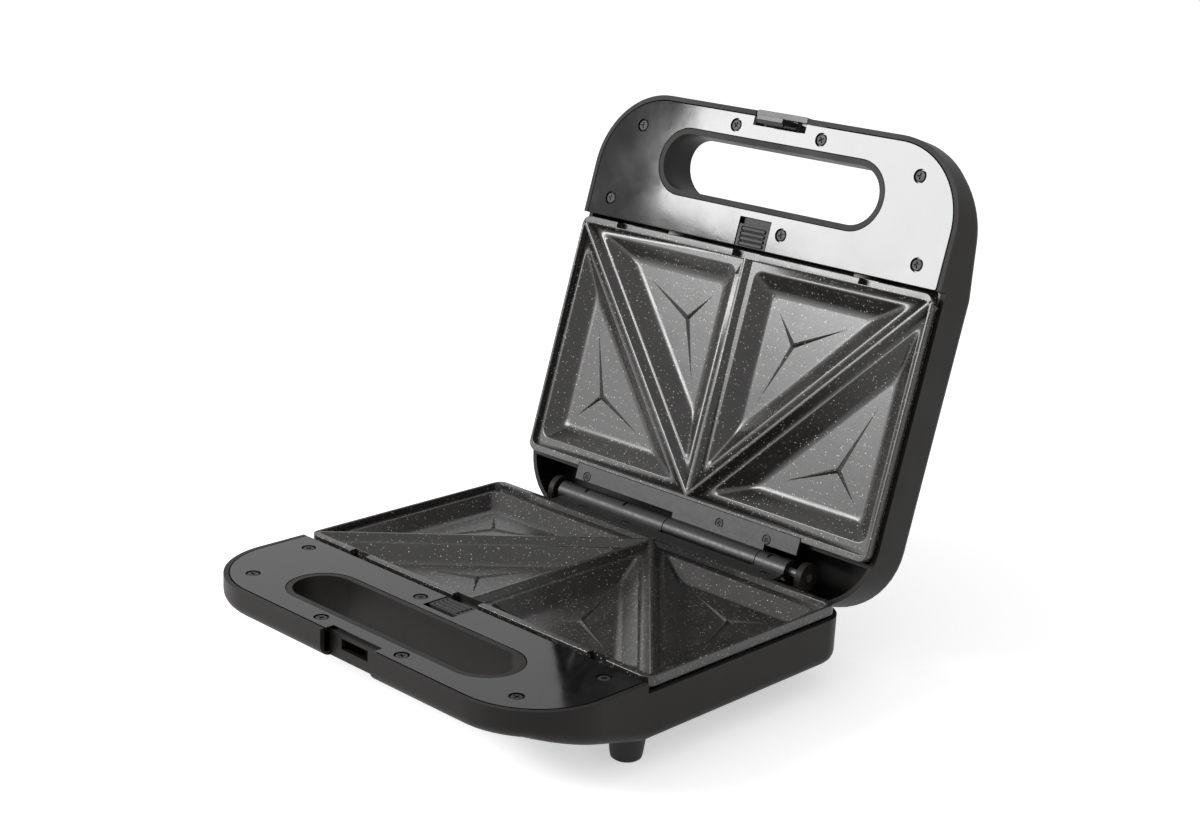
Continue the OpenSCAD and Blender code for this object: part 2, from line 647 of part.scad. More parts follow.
module thermostat() {
    translate([thermostat_u, shelf_v0 + wall, -11.5]) rotate([-90, 0, 0]) {
        cylinder(d = 15, h = 5);
        translate([0, 0, 5 - skin]) cylinder(d = 11, h = 3);
        for (s = [-1, 1]) translate([s * 4 - 1.5, -0.4, 7]) cube([3, 0.8, 5]);
    }
}

module lead(points, r = 0.9) {
    tube(points, r, 6);
}

// ---- feet ----

module foot(u, v) {
    color("#1c1b1b") in_base() translate([u, v, -base_depth]) difference() {
        rotate_extrude() polygon([[0, 0], [foot_d / 2, 0], [foot_d / 2 - 1.7, -foot_h + 2.4],
            [foot_d / 2 - 2.1, -foot_h + 0.7], [foot_d / 2 - 2.9, -foot_h], [0, -foot_h]]);
        translate([0, 0, -foot_h - over]) cylinder(d = 6.4, h = foot_h + over - 3);
        translate([0, 0, -foot_h - over]) cylinder(d = foot_screw_d + 2 * fit, h = foot_h + 2 * over);
    }
}

// ---- nodes ----

module base_handle_cover() { color("#141414") in_base() handle_cover(); }
module base_cover_screws() { color("#222222") in_base() cover_screws(); }
module base_plate() { color("#3a3a3a") in_base() plate(); }
module base_reflector_tray() { color("#b8b8b8") in_base() reflector_tray(); }
module base_tray_screws() { color("#999999") in_base() tray_screws(); }
module base_heating_element() { color("#6a6560") in_base() heating_element(); }
module base_element_clips() { color("#a0a0a0") in_base() element_clips(); }
module base_element_terminals() { color("#e8e2d6") in_base() element_terminals(); }
module base_release_button() { color("#555555") in_base() release_button(); }
module base_release_spring() { color("#909090") in_base() release_spring(); }
module base_hinge_leaf() { color("#4a4a48") in_base() hinge_leaf(base_knuckles); }
module base_hinge_screws() { color("#333333") in_base() hinge_screws(); }
module base_thermostat() { color("#a8a49a") in_base() thermostat(); }

module thermal_fuse() {
    color("#c8b070") in_base() translate([fuse_u, fuse_v, fuse_w]) rotate([0, 90, 0]) {
        cylinder(d = 4, h = 11);
        translate([0, 0, -5]) cylinder(d = 1, h = 21);
    }
}

module terminal_block() {
    color("#d8d4c8") in_base() translate([block_u, shelf_v0, block_w]) difference() {
        box(0, block_l, 4.8, 14.8, -5, 4);
        for (u = [5, 14, 23]) {
            translate([u, 3.8, 0]) rotate([-90, 0, 0]) cylinder(d = 4, h = 12);
            translate([u, 9.8, -1]) cylinder(d = 4.4, h = 6);
        }
    }
}

module cord_gland() {
    color("#1c1b1b") in_base() translate([gland_u, base_rear_v, gland_w]) rotate([-90, 0, 0]) difference() {
        union() {
            translate([0, 0, -3]) cylinder(d = 13, h = 3);
            cylinder(d = 9.8, h = wall);
            translate([0, 0, wall]) cylinder(d = 12, h = 1.2);
        }
        translate([0, 0, -4]) cylinder(d = 6.4, h = 10);
    }
}

// the way that the leads take beside the tray and round the end of the partition
function channel_run(from) = [[channel_u, from, -9], [channel_u, (from + shelf_v0) / 2, -9],
    [channel_u, shelf_v0 - 7.2, -9], [channel_u + 0.8, shelf_v0 - 1.2, -9], [channel_u + 3.4, shelf_v0 + 3, -9],
    [channel_u + 7.4, shelf_v0 + 4.2, -9]];

// from the thermostat to the heater's end on the side of positive u
function heater_run() = [[thermostat_u + 4, shelf_v0 + 15.7, -11.5], [thermostat_u + 10, shelf_v0 + 16.2, -13],
    [element_u - 10, shelf_v0 + 15.3, -14.5], [element_u - 3, shelf_v0 + 13.8, -14.5],
    [element_u, shelf_v0 + 10.2, element_w]];

module base_wiring() {
    inlet_v = base_rear_v;
    block_v = shelf_v0 + 9.8;
    fuse_end = fuse_u + 16.1;
    far_end = thermostat_u - 14;
    color("#e6dcc8") in_base() {
        lead(concat([[gland_u, inlet_v + 0.5, gland_w], [gland_u, inlet_v + 3, gland_w],
            [gland_u - 1.2, inlet_v + 4.5, -15], [gland_u - 6, inlet_v + 4.8, -11.5],
            [gland_u - 12, inlet_v + 5.1, -9.5], [channel_u + 2.9, inlet_v + 9.6, -9]],
            channel_run(inlet_v + 17.6),
            [[block_u - 5, shelf_v0 + 4.2, -9.5], [block_u - 3, shelf_v0 + 6, -10.5],
            [block_u - 2, block_v - 1, block_w], [block_u - 1, block_v, block_w], [block_u - 0.1, block_v, block_w]]));
        lead([[block_u + block_l + 0.1, block_v, block_w], [block_u + block_l + 6, block_v, -10],
            [fuse_u - 5.2, fuse_v, fuse_w]]);
        lead([[fuse_end, fuse_v, fuse_w], [fuse_end + 5, shelf_v0 + 5.3, -12], [fuse_end + 11, shelf_v0 + 4.1, -13.5],
            [(fuse_end + 11 + far_end) / 2, shelf_v0 + 4.8, -15], [far_end, shelf_v0 + 10.8, -14.5],
            [far_end + 5, shelf_v0 + 15.8, -12.5], [thermostat_u - 4, shelf_v0 + 15.7, -11.5]]);
        lead(heater_run());
    }
}

module foot_front_left() { foot(-foot_front[0], foot_front[1]); }
module foot_front_right() { foot(foot_front[0], foot_front[1]); }
module foot_rear_left() { foot(-foot_rear[0], foot_rear[1]); }
module foot_rear_right() { foot(foot_rear[0], foot_rear[1]); }

module foot_screws() {
    color("#999999") in_base() for (p = foot_places)
        translate([p[0], p[1], -base_depth - 3]) rotate([180, 0, 0]) screw(5.6, 1.6, foot_screw_d, 6);
}

module lid_handle_cover() { color("#141414") in_lid() handle_cover(); }
module lid_cover_screws() { color("#222222") in_lid() cover_screws(); }
module lid_plate() { color("#3a3a3a") in_lid() plate(); }
module lid_reflector_tray() { color("#b8b8b8") in_lid() reflector_tray(); }
module lid_tray_screws() { color("#999999") in_lid() tray_screws(); }
module lid_heating_element() { color("#6a6560") in_lid() heating_element(); }
module lid_element_clips() { color("#a0a0a0") in_lid() element_clips(); }
module lid_element_terminals() { color("#e8e2d6") in_lid() element_terminals(); }
module lid_release_button() { color("#555555") in_lid() release_button(); }
module lid_release_spring() { color("#909090") in_lid() release_spring(); }
module lid_hinge_leaf() { color("#4a4a48") in_lid() hinge_leaf(lid_knuckles); }
module lid_hinge_screws() { color("#333333") in_lid() hinge_screws(); }
module lid_thermostat() { color("#a8a49a") in_lid() thermostat(); }

module lid_wiring() {
    color("#e6dcc8") in_lid() {
        lead(concat([[channel_u + 4.4, bulkhead_v0 + 2.6, -9]], channel_run(24),
            [[channel_u + 14.4, shelf_v0 + 4.2, -9.5], [channel_u + 23.4, shelf_v0 + 5.8, -11],
            [-element_u - 12, shelf_v0 + 12.3, -14], [-element_u - 3, shelf_v0 + 13.3, -14],
            [-element_u, shelf_v0 + 10.2, element_w]]));
        lead(heater_run());
    }
}

module lens(u, tint) {
    color(tint) in_lid() lamp_frame(u) union() {
        translate([0, 0, -0.8]) cylinder(d = 7.6, h = 0.8);
        translate([0, 0, -skin]) cylinder(d = 6.2, h = 4);
    }
}

module lamp_lens_red() { lens(lamp_u, "#b02020"); }
module lamp_lens_green() { lens(-lamp_u, "#208040"); }

module indicator_lamps() {
    color("#f0c8a0") in_lid() for (s = [-1, 1]) lamp_frame(s * lamp_u) translate([0, 0, 4.1]) {
        cylinder(d = 4, h = 4);
        translate([0, 0, 4]) sphere(d = 4);
    }
}

module latch_lever() {
    half = hook_w / 2 + 0.7;
    color("#4c4c4c") in_lid() difference() {
        union() {
            translate([-half, pivot_v, pivot_w]) rotate([0, 90, 0]) cylinder(d = 5, h = 2 * half);
            // hook
            box(-hook_w / 2, hook_w / 2, hook_v, hook_v + 2.4, pivot_w, hook_tip);
            translate([-hook_w / 2, 0, 0]) rotate([90, 0, 90]) linear_extrude(hook_w)
                polygon([[hook_v + 0.5, hook_low], [hook_v - 1.6, hook_low], [hook_v - 1.6, hook_low + 0.8],
                    [hook_v + 0.5, hook_tip]]);
            // finger tab
            box(-half, half, pivot_v, reach - 1, pivot_w - 2, pivot_w + 2);
            box(-notch_half + 0.5, notch_half - 0.5, reach - 2.4, reach + 0.6, 6.4 - lid_handle_depth, -0.3);
        }
        translate([-14, pivot_v, pivot_w]) rotate([0, 90, 0]) cylinder(d = lever_pin_d + 2 * fit, h = 28);
        box(-2.2, 2.2, pivot_v - 4, pivot_v + 2.6, pivot_w - 4, pivot_w + 2.8);
    }
}

module latch_pin() {
    color("#a0a0a0") in_lid() translate([-cheek_u - 1, pivot_v, pivot_w]) rotate([0, 90, 0])
        cylinder(d = lever_pin_d, h = 2 * cheek_u + 2);
}

module latch_spring() {
    color("#909090") in_lid() translate([0, pivot_v, pivot_w]) {
        for (u = [-1.2, -0.4, 0.4, 1.2]) translate([u, 0, 0]) rotate([0, 90, 0])
            rotate_extrude() translate([1.65, 0]) circle(r = 0.42);
        translate([-1.2, -1.6, -8.4]) cylinder(r = 0.4, h = 8.4);
    }
}

module hinge_pin() {
    color("#a0a0a0") translate([-ear_u - ear_t - 1.2, hinge_y, cover_z + axis_w]) rotate([0, 90, 0]) {
        cylinder(d = pin_d, h = 2 * (ear_u + ear_t) + 1.6);
        cylinder(d = pin_d + 2.4, h = 1);
    }
}

base_housing();
base_handle_cover();
base_cover_screws();
base_plate();
base_reflector_tray();
base_tray_screws();
base_heating_element();
base_element_clips();
base_element_terminals();
base_release_button();
base_release_spring();
base_hinge_leaf();
base_hinge_screws();
base_thermostat();
thermal_fuse();
terminal_block();
cord_gland();
base_wiring();
foot_front_left();
foot_front_right();
foot_rear_left();
foot_rear_right();
foot_screws();
lid_housing();
lid_handle_cover();
lid_cover_screws();
lid_plate();
lid_reflector_tray();
lid_tray_screws();
lid_heating_element();
lid_element_clips();
lid_element_terminals();
lid_release_button();
lid_release_spring();
lid_hinge_leaf();
lid_hinge_screws();
lid_thermostat();
lid_wiring();
lamp_lens_red();
lamp_lens_green();
indicator_lamps();
latch_lever();
latch_pin();
latch_spring();
hinge_pin();
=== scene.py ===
"""Looks of a sandwich toaster with a hinged lid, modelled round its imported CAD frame."""

import json
import logging
import math
from contextlib import contextmanager
from dataclasses import dataclass
from enum import Enum
from typing import Callable, Iterator, Sequence

import bpy
from mathutils import Matrix, Vector


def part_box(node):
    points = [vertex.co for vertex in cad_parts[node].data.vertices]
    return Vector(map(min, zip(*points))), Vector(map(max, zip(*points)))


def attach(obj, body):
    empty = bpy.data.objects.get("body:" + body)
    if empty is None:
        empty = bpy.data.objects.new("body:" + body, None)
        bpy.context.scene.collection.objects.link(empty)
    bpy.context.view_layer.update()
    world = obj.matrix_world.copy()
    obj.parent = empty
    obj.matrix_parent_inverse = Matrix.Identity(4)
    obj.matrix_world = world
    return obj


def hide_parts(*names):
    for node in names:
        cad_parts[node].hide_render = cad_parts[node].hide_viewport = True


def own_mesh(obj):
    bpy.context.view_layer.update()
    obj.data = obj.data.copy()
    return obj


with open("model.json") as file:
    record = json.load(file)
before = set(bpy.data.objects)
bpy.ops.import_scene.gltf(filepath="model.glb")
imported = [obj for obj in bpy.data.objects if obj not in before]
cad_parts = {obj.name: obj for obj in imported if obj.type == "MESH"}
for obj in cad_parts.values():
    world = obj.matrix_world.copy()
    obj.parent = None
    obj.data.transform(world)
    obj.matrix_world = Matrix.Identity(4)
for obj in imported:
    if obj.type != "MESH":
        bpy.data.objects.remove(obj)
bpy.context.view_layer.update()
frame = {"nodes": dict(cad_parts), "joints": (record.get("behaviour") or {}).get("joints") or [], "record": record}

MM = 0.001
JOINTS = {joint["name"]: joint for joint in frame["joints"]}
HINGE = Vector(JOINTS["lid_hinge"]["pos_m"])
OPEN_ANGLE = math.radians(JOINTS["lid_hinge"]["range_deg"][1])
COVER_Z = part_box("base_handle_cover")[1].z
AXIS_W = HINGE.z - COVER_Z
FLOOR_SIDE = 9.0

Corners = list[Vector]
Test = Callable[[Corners], bool]
Span = tuple[float, float]
Spot = tuple[float, float, float]

log = logging.getLogger("toaster")


class Half(Enum):
    """The two halves. Each is modelled in one half frame: u across, v from the hinge axis towards
    the handle, w out of the handle cover's face towards the other half, in millimetres."""

    BASE = "base"
    LID = "lid"

    def place(self) -> Matrix:
        """Where the half frame stands in the toaster.

        Returns:
            The matrix that takes a mesh modelled in the half frame to its place.
        """
        if self is Half.BASE:
            return Matrix.Translation((0, HINGE.y, COVER_Z))
        turned_over = Matrix.Translation((0, 0, AXIS_W)) @ Matrix.Rotation(math.pi, 4, "Y")
        return Matrix.Translation(HINGE) @ Matrix.Rotation(-OPEN_ANGLE, 4, "X") @ turned_over


@dataclass(frozen=True)
class Outline:
    """Sizes that both halves share, in millimetres."""

    half_width: float = 114.0
    reach: float = 213.0
    wall: float = 2.4
    handle_corner: float = 41.0
    lower_edge: float = 6.0
    slope_start: float = 145.0
    slope_end: float = 200.0
    shelf_v: float = 145.2
    sink: float = 4.7
    slot_half_length: float = 67.9
    slot_half_height: float = 14.45
    slot_v: float = 181.0
    notch_half: float = 16.4
    cover_thickness: float = 2.0
    cover_gap: float = 0.6


SHAPE = Outline()
COVER_SCREWS = [(-87.4, 195.45), (87.4, 195.45), (-97.66, 155.0), (97.66, 155.0),
                (-26.8, 204.0), (26.8, 204.0), (-17.2, 154.8)]
HINGE_SCREWS = [(66.0, 10.5), (-24.7, 10.5), (-54.6, 10.5)]
TRAY_SCREWS = [(-84.0, 33.0), (84.0, 33.0), (-84.0, 124.0), (84.0, 124.0)]


def spot(u: float, v: float, w: float) -> Vector:
    """A place of the half frame as Blender coordinates, in metres."""
    return Vector((u, -v, w)) * MM


def half_frame(place: Vector) -> Vector:
    """Blender coordinates as u, v, w of the half frame, in millimetres."""
    return Vector((place.x, -place.y, place.z)) / MM


def near(a: float, b: float, slack: float = 0.05) -> bool:
    """Whether two sizes in millimetres agree."""
    return abs(a - b) < slack


def upright(corners: Corners) -> bool:
    """Whether an edge runs along w."""
    return near(corners[0].x, corners[1].x) and near(corners[0].y, corners[1].y)


class Workpiece:
    """A mesh on the bench, shaped with Blender's own tools in the half frame."""

    def __init__(self, obj: bpy.types.Object) -> None:
        """Takes a mesh object onto the bench."""
        self.obj = obj

    @staticmethod
    def clear_selection() -> None:
        """Leaves nothing selected."""
        bpy.ops.object.select_all(action="DESELECT")

    @classmethod
    def _added(cls, name: str) -> "Workpiece":
        """Names the primitive that was just added and puts its place into its mesh."""
        bpy.context.object.name = name
        bpy.ops.object.transform_apply(location=True, rotation=True, scale=True)
        return cls(bpy.context.object)

    @classmethod
    def block(cls, name: str, u: Span, v: Span, w: Span) -> "Workpiece":
        """Starts a piece from a block.

        Args:
            name: The piece's name.
            u, v, w: Where the block begins and ends along each axis.
        Returns:
            The new workpiece.
        """
        cls.clear_selection()
        middle = spot(sum(u) / 2, sum(v) / 2, sum(w) / 2)
        bpy.ops.mesh.primitive_cube_add(size=MM, location=middle)
        bpy.context.object.scale = (u[1] - u[0], v[1] - v[0], w[1] - w[0])
        return cls._added(name)

    @classmethod
    def rod(cls, name: str, radius: float, start: Spot, end: Spot, sides: int = 32) -> "Workpiece":
        """Starts a piece from a round bar.

        Args:
            name: The piece's name.
            radius: The bar's radius.
            start, end: The middles of its two ends.
            sides: How many sides stand for the round.
        Returns:
            The new workpiece.
        """
        cls.clear_selection()
        run = spot(*end) - spot(*start)
        turn = run.to_track_quat("Z", "Y").to_euler()
        bpy.ops.mesh.primitive_cylinder_add(vertices=sides, radius=radius * MM, depth=run.length,
                                            location=spot(*start) + run / 2, rotation=turn)
        return cls._added(name)

    @classmethod
    def slot_core(cls, name: str, grow: float, w: Span) -> "Workpiece":
        """A bar with round ends that fills the finger slot, grown by some millimetres all round."""
        length, height = SHAPE.slot_half_length + grow, SHAPE.slot_half_height + grow
        core = cls.block(name, (-length, length), (SHAPE.slot_v - height, SHAPE.slot_v + height), w)
        core.round_edges(height - 0.01, 14, upright)
        return core

    def activate(self) -> None:
        """Makes this the one selected and active object."""
        self.clear_selection()
        self.obj.select_set(True)
        bpy.context.view_layer.objects.active = self.obj

    def pick(self, kind: str, test: Test) -> None:
        """Selects vertices, edges or faces by the places of their corners.

        Args:
            kind: VERT, EDGE or FACE.
            test: Says of a list of corners in the half frame whether they belong.
        """
        mesh = self.obj.data
        groups = {"VERT": mesh.vertices, "EDGE": mesh.edges, "FACE": mesh.polygons}
        for group in groups.values():
            group.foreach_set("select", [False] * len(group))
        at = [half_frame(vertex.co) for vertex in mesh.vertices]
        for item in groups[kind]:
            corners = [at[item.index]] if kind == "VERT" else [at[i] for i in item.vertices]
            item.select = test(corners)

    @contextmanager
    def editing(self, kind: str, test: Test) -> Iterator[None]:
        """Edit mode with what passes the test selected."""
        self.pick(kind, test)
        self.activate()
        modes = ("VERT", "EDGE", "FACE")
        bpy.context.tool_settings.mesh_select_mode = tuple(kind == mode for mode in modes)
        bpy.ops.object.mode_set(mode="EDIT")
        yield
        bpy.ops.object.mode_set(mode="OBJECT")

    def slice(self, at: Spot, normal: Spot) -> None:
        """Adds an edge loop where a plane meets the piece."""
        with self.editing("FACE", lambda corners: True):
            bpy.ops.mesh.bisect(plane_co=spot(*at), plane_no=spot(*normal).normalized())

    def round_edges(self, radius: float, segments: int, test: Test) -> None:
        """Rounds the edges that pass the test.

        Args:
            radius: The rounding's radius.
            segments: How many strips it gets.
            test: Picks the edges by their two corners.
        """
        with self.editing("EDGE", test):
            bpy.ops.mesh.bevel(offset=radius * MM, segments=segments, affect="EDGES", profile=0.5)

    def move(self, test: Test, u: float = 0, v: float = 0, w: float = 0) -> None:
        """Moves the corners that pass the test."""
        with self.editing("VERT", test):
            bpy.ops.transform.translate(value=spot(u, v, w))

    def squeeze(self, test: Test, factors: Spot, about: Spot) -> None:
        """Scales the corners that pass the test about a point."""
        with self.editing("VERT", test):
            bpy.ops.transform.resize(value=factors, center_override=spot(*about))

    def modify(self, kind: str, **settings: object) -> None:
        """Puts one modifier on the piece and applies it."""
        modifier = self.obj.modifiers.new(kind.lower(), kind)
        for key, value in settings.items():
            setattr(modifier, key, value)
        self.activate()
        bpy.ops.object.modifier_apply(modifier=modifier.name)

    def combine(self, operation: str, *tools: "Workpiece") -> "Workpiece":
        """Cuts, fuses or intersects with other workpieces, which are used up.

        Args:
            operation: DIFFERENCE, UNION or INTERSECT.
            tools: The other workpieces.
        Returns:
            This workpiece.
        """
        for tool in tools:
            self.modify("BOOLEAN", object=tool.obj, operation=operation, solver="EXACT")
            bpy.data.objects.remove(tool.obj)
        return self

    def join(self, *others: "Workpiece") -> "Workpiece":
        """Takes other workpieces into this one as they stand."""
        self.activate()
        for other in others:
            other.obj.select_set(True)
        if others:
            bpy.ops.object.join()
        return self

    def copied(self, places: Sequence[Matrix]) -> "Workpiece":
        """Repeats the piece, each copy with its own mesh, and joins the copies.

        Args:
            places: What moves the first one to each place.
        Returns:
            The joined workpiece, which takes the place of this one.
        """
        copies = []
        for place in places:
            self.activate()
            bpy.ops.object.duplicate(linked=False)
            twin = Workpiece(bpy.context.object)
            twin.obj.matrix_world = place @ twin.obj.matrix_world
            bpy.ops.object.transform_apply(location=True, rotation=True, scale=True)
            copies.append(twin)
        name = self.obj.name
        bpy.data.objects.remove(self.obj)
        copies[0].obj.name = name
        return copies[0].join(*copies[1:])

    def soften(self, radius: float, segments: int = 2, angle: float = 32) -> "Workpiece":
        """Breaks every sharp edge and shades the piece smoothly.

        Args:
            radius: The edges' radius.
            segments: How many strips each edge gets.
            angle: Edges that turn by more than this many degrees are sharp.
        Returns:
            This workpiece.
        """
        limit = math.radians(angle)
        with self.editing("VERT", lambda corners: True):
            bpy.ops.mesh.remove_doubles(threshold=0.01 * MM)
            bpy.ops.mesh.dissolve_limited(angle_limit=math.radians(0.5))
        if radius > 0:
            self.modify("BEVEL", width=radius * MM, segments=segments, limit_method="ANGLE",
                        angle_limit=limit, miter_outer="MITER_ARC", use_clamp_overlap=True)
        self.activate()
        bpy.ops.object.shade_smooth_by_angle(angle=math.radians(50))
        self.modify("WEIGHTED_NORMAL", keep_sharp=True, weight=80)
        return self

    def settle(self, half: Half, body: str, finish: "Finish", slot: str, *nodes: str) -> None:
        """Sets the finished piece down on the toaster.

        Args:
            half: The half frame that it was modelled in.
            body: The CAD body that it moves with.
            finish: What it is made of.
            slot: The record's material slot; not used.
            nodes: The CAD nodes that it stands for.
        """
        self.obj.matrix_world = half.place() @ self.obj.matrix_world
        self.activate()
        bpy.ops.object.transform_apply(location=True, rotation=True, scale=True)
        self.obj.data.materials.clear()
        self.obj.data.materials.append(finish.material())
        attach(self.obj, body)
        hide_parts(*nodes)
        log.info("%s: %d faces, for %s", self.obj.name, len(self.obj.data.polygons), ", ".join(nodes))


# ---- finishes ----


def linear(colour: str) -> tuple[float, float, float, float]:
    """An sRGB hex colour as linear red, green, blue and alpha."""
    parts = [int(colour[i:i + 2], 16) / 255 for i in (1, 3, 5)]
    red, green, blue = (c / 12.92 if c <= 0.04045 else ((c + 0.055) / 1.055) ** 2.4 for c in parts)
    return red, green, blue, 1.0


def add_node(tree: bpy.types.NodeTree, kind: str, settings: dict | None = None,
             links: dict | None = None) -> bpy.types.Node:
    """Adds a node.

    Args:
        tree: The node tree.
        kind: The node's type.
        settings: Values of its properties, or of its inputs, by name or number.
        links: Output sockets that feed its inputs, by name or number.
    Returns:
        The new node.
    """
    node = tree.nodes.new(kind)
    for key, value in (settings or {}).items():
        if isinstance(key, str) and hasattr(node, key):
            setattr(node, key, value)
        else:
            node.inputs[key].default_value = value
    for key, socket in (links or {}).items():
        tree.links.new(socket, node.inputs[key])
    return node


def mottle(tree: bpy.types.NodeTree, place: bpy.types.NodeSocket, size: float,
           stretch: Spot = (1, 1, 1), depth: int = 2) -> bpy.types.NodeSocket:
    """Cloudy values from 0 to 1.

    Args:
        tree: The node tree.
        place: Object coordinates.
        size: Size of a cloud in millimetres.
        stretch: How much finer the clouds are along each axis.
        depth: How many finer layers lie on the first.
    Returns:
        The socket with the values.
    """
    mapped = add_node(tree, "ShaderNodeMapping", {"Scale": stretch}, {"Vector": place})
    noise = add_node(tree, "ShaderNodeTexNoise", {"Scale": 1 / (size * MM), "Detail": depth, "Roughness": 0.55},
                     {"Vector": mapped.outputs[0]})
    return noise.outputs["Fac"]


def between(tree: bpy.types.NodeTree, value: bpy.types.NodeSocket, low: float, high: float,
            start: float = 0.3, end: float = 0.7) -> bpy.types.NodeSocket:
    """Stretches values from start..end to low..high."""
    return add_node(tree, "ShaderNodeMapRange", {1: start, 2: end, 3: low, 4: high}, {0: value}).outputs[0]


def tinted(tree: bpy.types.NodeTree, value: bpy.types.NodeSocket, low: str, high: str,
           start: float = 0.3, end: float = 0.7) -> bpy.types.NodeSocket:
    """A colour between two hex colours, chosen by a value."""
    ramp = add_node(tree, "ShaderNodeValToRGB", links={0: value})
    for element, position, colour in zip(ramp.color_ramp.elements, (start, end), (low, high)):
        element.position = position
        element.color = linear(colour)
    return ramp.outputs[0]


def shown(tree: bpy.types.NodeTree) -> bpy.types.NodeSocket:
    """1 for rays that show a backdrop, straight, in a gloss or through glass, and 0 for rays that light."""
    path = add_node(tree, "ShaderNodeLightPath").outputs
    gloss = add_node(tree, "ShaderNodeMath", {"operation": "MAXIMUM"},
                     {0: path["Is Camera Ray"], 1: path["Is Glossy Ray"]}).outputs[0]
    return add_node(tree, "ShaderNodeMath", {"operation": "MAXIMUM"},
                    {0: gloss, 1: path["Is Transmission Ray"]}).outputs[0]


def relief(tree: bpy.types.NodeTree, height: bpy.types.NodeSocket, depth: float,
           strength: float = 1.0, under: bpy.types.NodeSocket | None = None) -> bpy.types.NodeSocket:
    """A bumped normal.

    Args:
        tree: The node tree.
        height: Heights from 0 to 1.
        depth: The height's depth in millimetres.
        strength: How much of it shows.
        under: A normal that it lies on.
    Returns:
        The normal's socket.
    """
    links = {"Height": height} | ({"Normal": under} if under else {})
    return add_node(tree, "ShaderNodeBump", {"Distance": depth * MM, "Strength": strength}, links).outputs[0]


@dataclass(frozen=True)
class Finish:
    """What a surface is made of. Each kind of material adds its own detail."""

    name: str
    colour: str
    roughness: float
    specular: float = 0.5
    metallic: float = 0.0

    def material(self) -> bpy.types.Material:
        """The Blender material, made once.

        Returns:
            The material.
        """
        found = bpy.data.materials.get(self.name)
        if found:
            return found
        made = bpy.data.materials.new(self.name)
        made.use_nodes = True
        made.diffuse_color = linear(self.colour)
        tree = made.node_tree
        shader = tree.nodes["Principled BSDF"]
        for key, value in (("Base Color", linear(self.colour)), ("Roughness", self.roughness),
                           ("Metallic", self.metallic), ("Specular IOR Level", self.specular)):
            shader.inputs[key].default_value = value
        self.detail(tree, shader, add_node(tree, "ShaderNodeTexCoord").outputs["Object"])
        return made

    def detail(self, tree: bpy.types.NodeTree, shader: bpy.types.Node, place: bpy.types.NodeSocket) -> None:
        """Adds the pattern of this kind of material."""
        raise NotImplementedError

    def feed(self, tree: bpy.types.NodeTree, shader: bpy.types.Node, **sockets: bpy.types.NodeSocket) -> None:
        """Links sockets to the shader's inputs, named with underscores for spaces."""
        for key, socket in sockets.items():
            tree.links.new(socket, shader.inputs[key.replace("_", " ")])


@dataclass(frozen=True)
class GrainedPlastic(Finish):
    """Injection-moulded plastic from an eroded mould: a dry, finely pebbled skin that scatters light."""

    light: str = "#34302e"
    grain: float = 0.9

    def detail(self, tree: bpy.types.NodeTree, shader: bpy.types.Node, place: bpy.types.NodeSocket) -> None:
        """Pebbled grain and a slow drift of tone and gloss."""
        clouds = mottle(tree, place, 38, depth=3)
        pebbles = mottle(tree, place, self.grain, depth=1)
        # real erosion grain is about 0.1 mm: it is drawn coarser, as fine as shows at this distance
        self.feed(tree, shader, Base_Color=tinted(tree, clouds, self.colour, self.light),
                  Roughness=between(tree, clouds, self.roughness - 0.04, self.roughness + 0.05),
                  Normal=relief(tree, pebbles, 0.05, 0.5))


@dataclass(frozen=True)
class PolishedPlastic(Finish):
    """Plastic moulded against a mirror: deep and wet-looking, with the faint haze of wiping."""

    def detail(self, tree: bpy.types.NodeTree, shader: bpy.types.Node, place: bpy.types.NodeSocket) -> None:
        """Orange peel, wiping haze and a little unevenness of gloss."""
        haze = mottle(tree, place, 24, depth=4)
        peel = mottle(tree, place, 6, depth=2)
        speck = mottle(tree, place, 0.7, depth=0)
        wavy = relief(tree, peel, 0.02, 0.35)
        self.feed(tree, shader, Base_Color=tinted(tree, haze, self.colour, "#0b0b0b"),
                  Roughness=between(tree, haze, self.roughness - 0.02, self.roughness + 0.05),
                  Normal=relief(tree, speck, 0.004, 0.4, wavy))


@dataclass(frozen=True)
class CoatedCasting(Finish):
    """Die-cast aluminium under a sprayed non-stick coat: dark, softly shiny, with pale flecks in it."""

    fleck: str = "#d8d3ca"
    fleck_size: float = 1.3

    def detail(self, tree: bpy.types.NodeTree, shader: bpy.types.Node, place: bpy.types.NodeSocket) -> None:
        """Sprayed flecks, an even fine tooth, and slow unevenness of the coat's thickness."""
        clouds = mottle(tree, place, 18, depth=3)
        tooth = mottle(tree, place, 1.1, depth=2)
        cells = add_node(tree, "ShaderNodeTexVoronoi", {"Scale": 1 / (self.fleck_size * MM), "Randomness": 1.0},
                         {"Vector": place})
        # the cell's own shade says how much of its fleck shows: many faint ones, a few bright ones
        chosen = between(tree, cells.outputs["Color"], 0.0, 1.0, 0.5, 0.9)
        small = between(tree, cells.outputs["Distance"], 1.0, 0.0, 0.08, 0.3)
        fleck = add_node(tree, "ShaderNodeMath", {"operation": "MULTIPLY"}, {0: chosen, 1: small}).outputs[0]
        base = tinted(tree, clouds, self.colour, "#252221")
        mixed = add_node(tree, "ShaderNodeMix", {"data_type": "RGBA", 7: linear(self.fleck)},
                         {0: fleck, 6: base})
        self.feed(tree, shader, Base_Color=mixed.outputs[2],
                  Roughness=between(tree, clouds, self.roughness - 0.03, self.roughness + 0.05),
                  Normal=relief(tree, tooth, 0.03, 0.35))


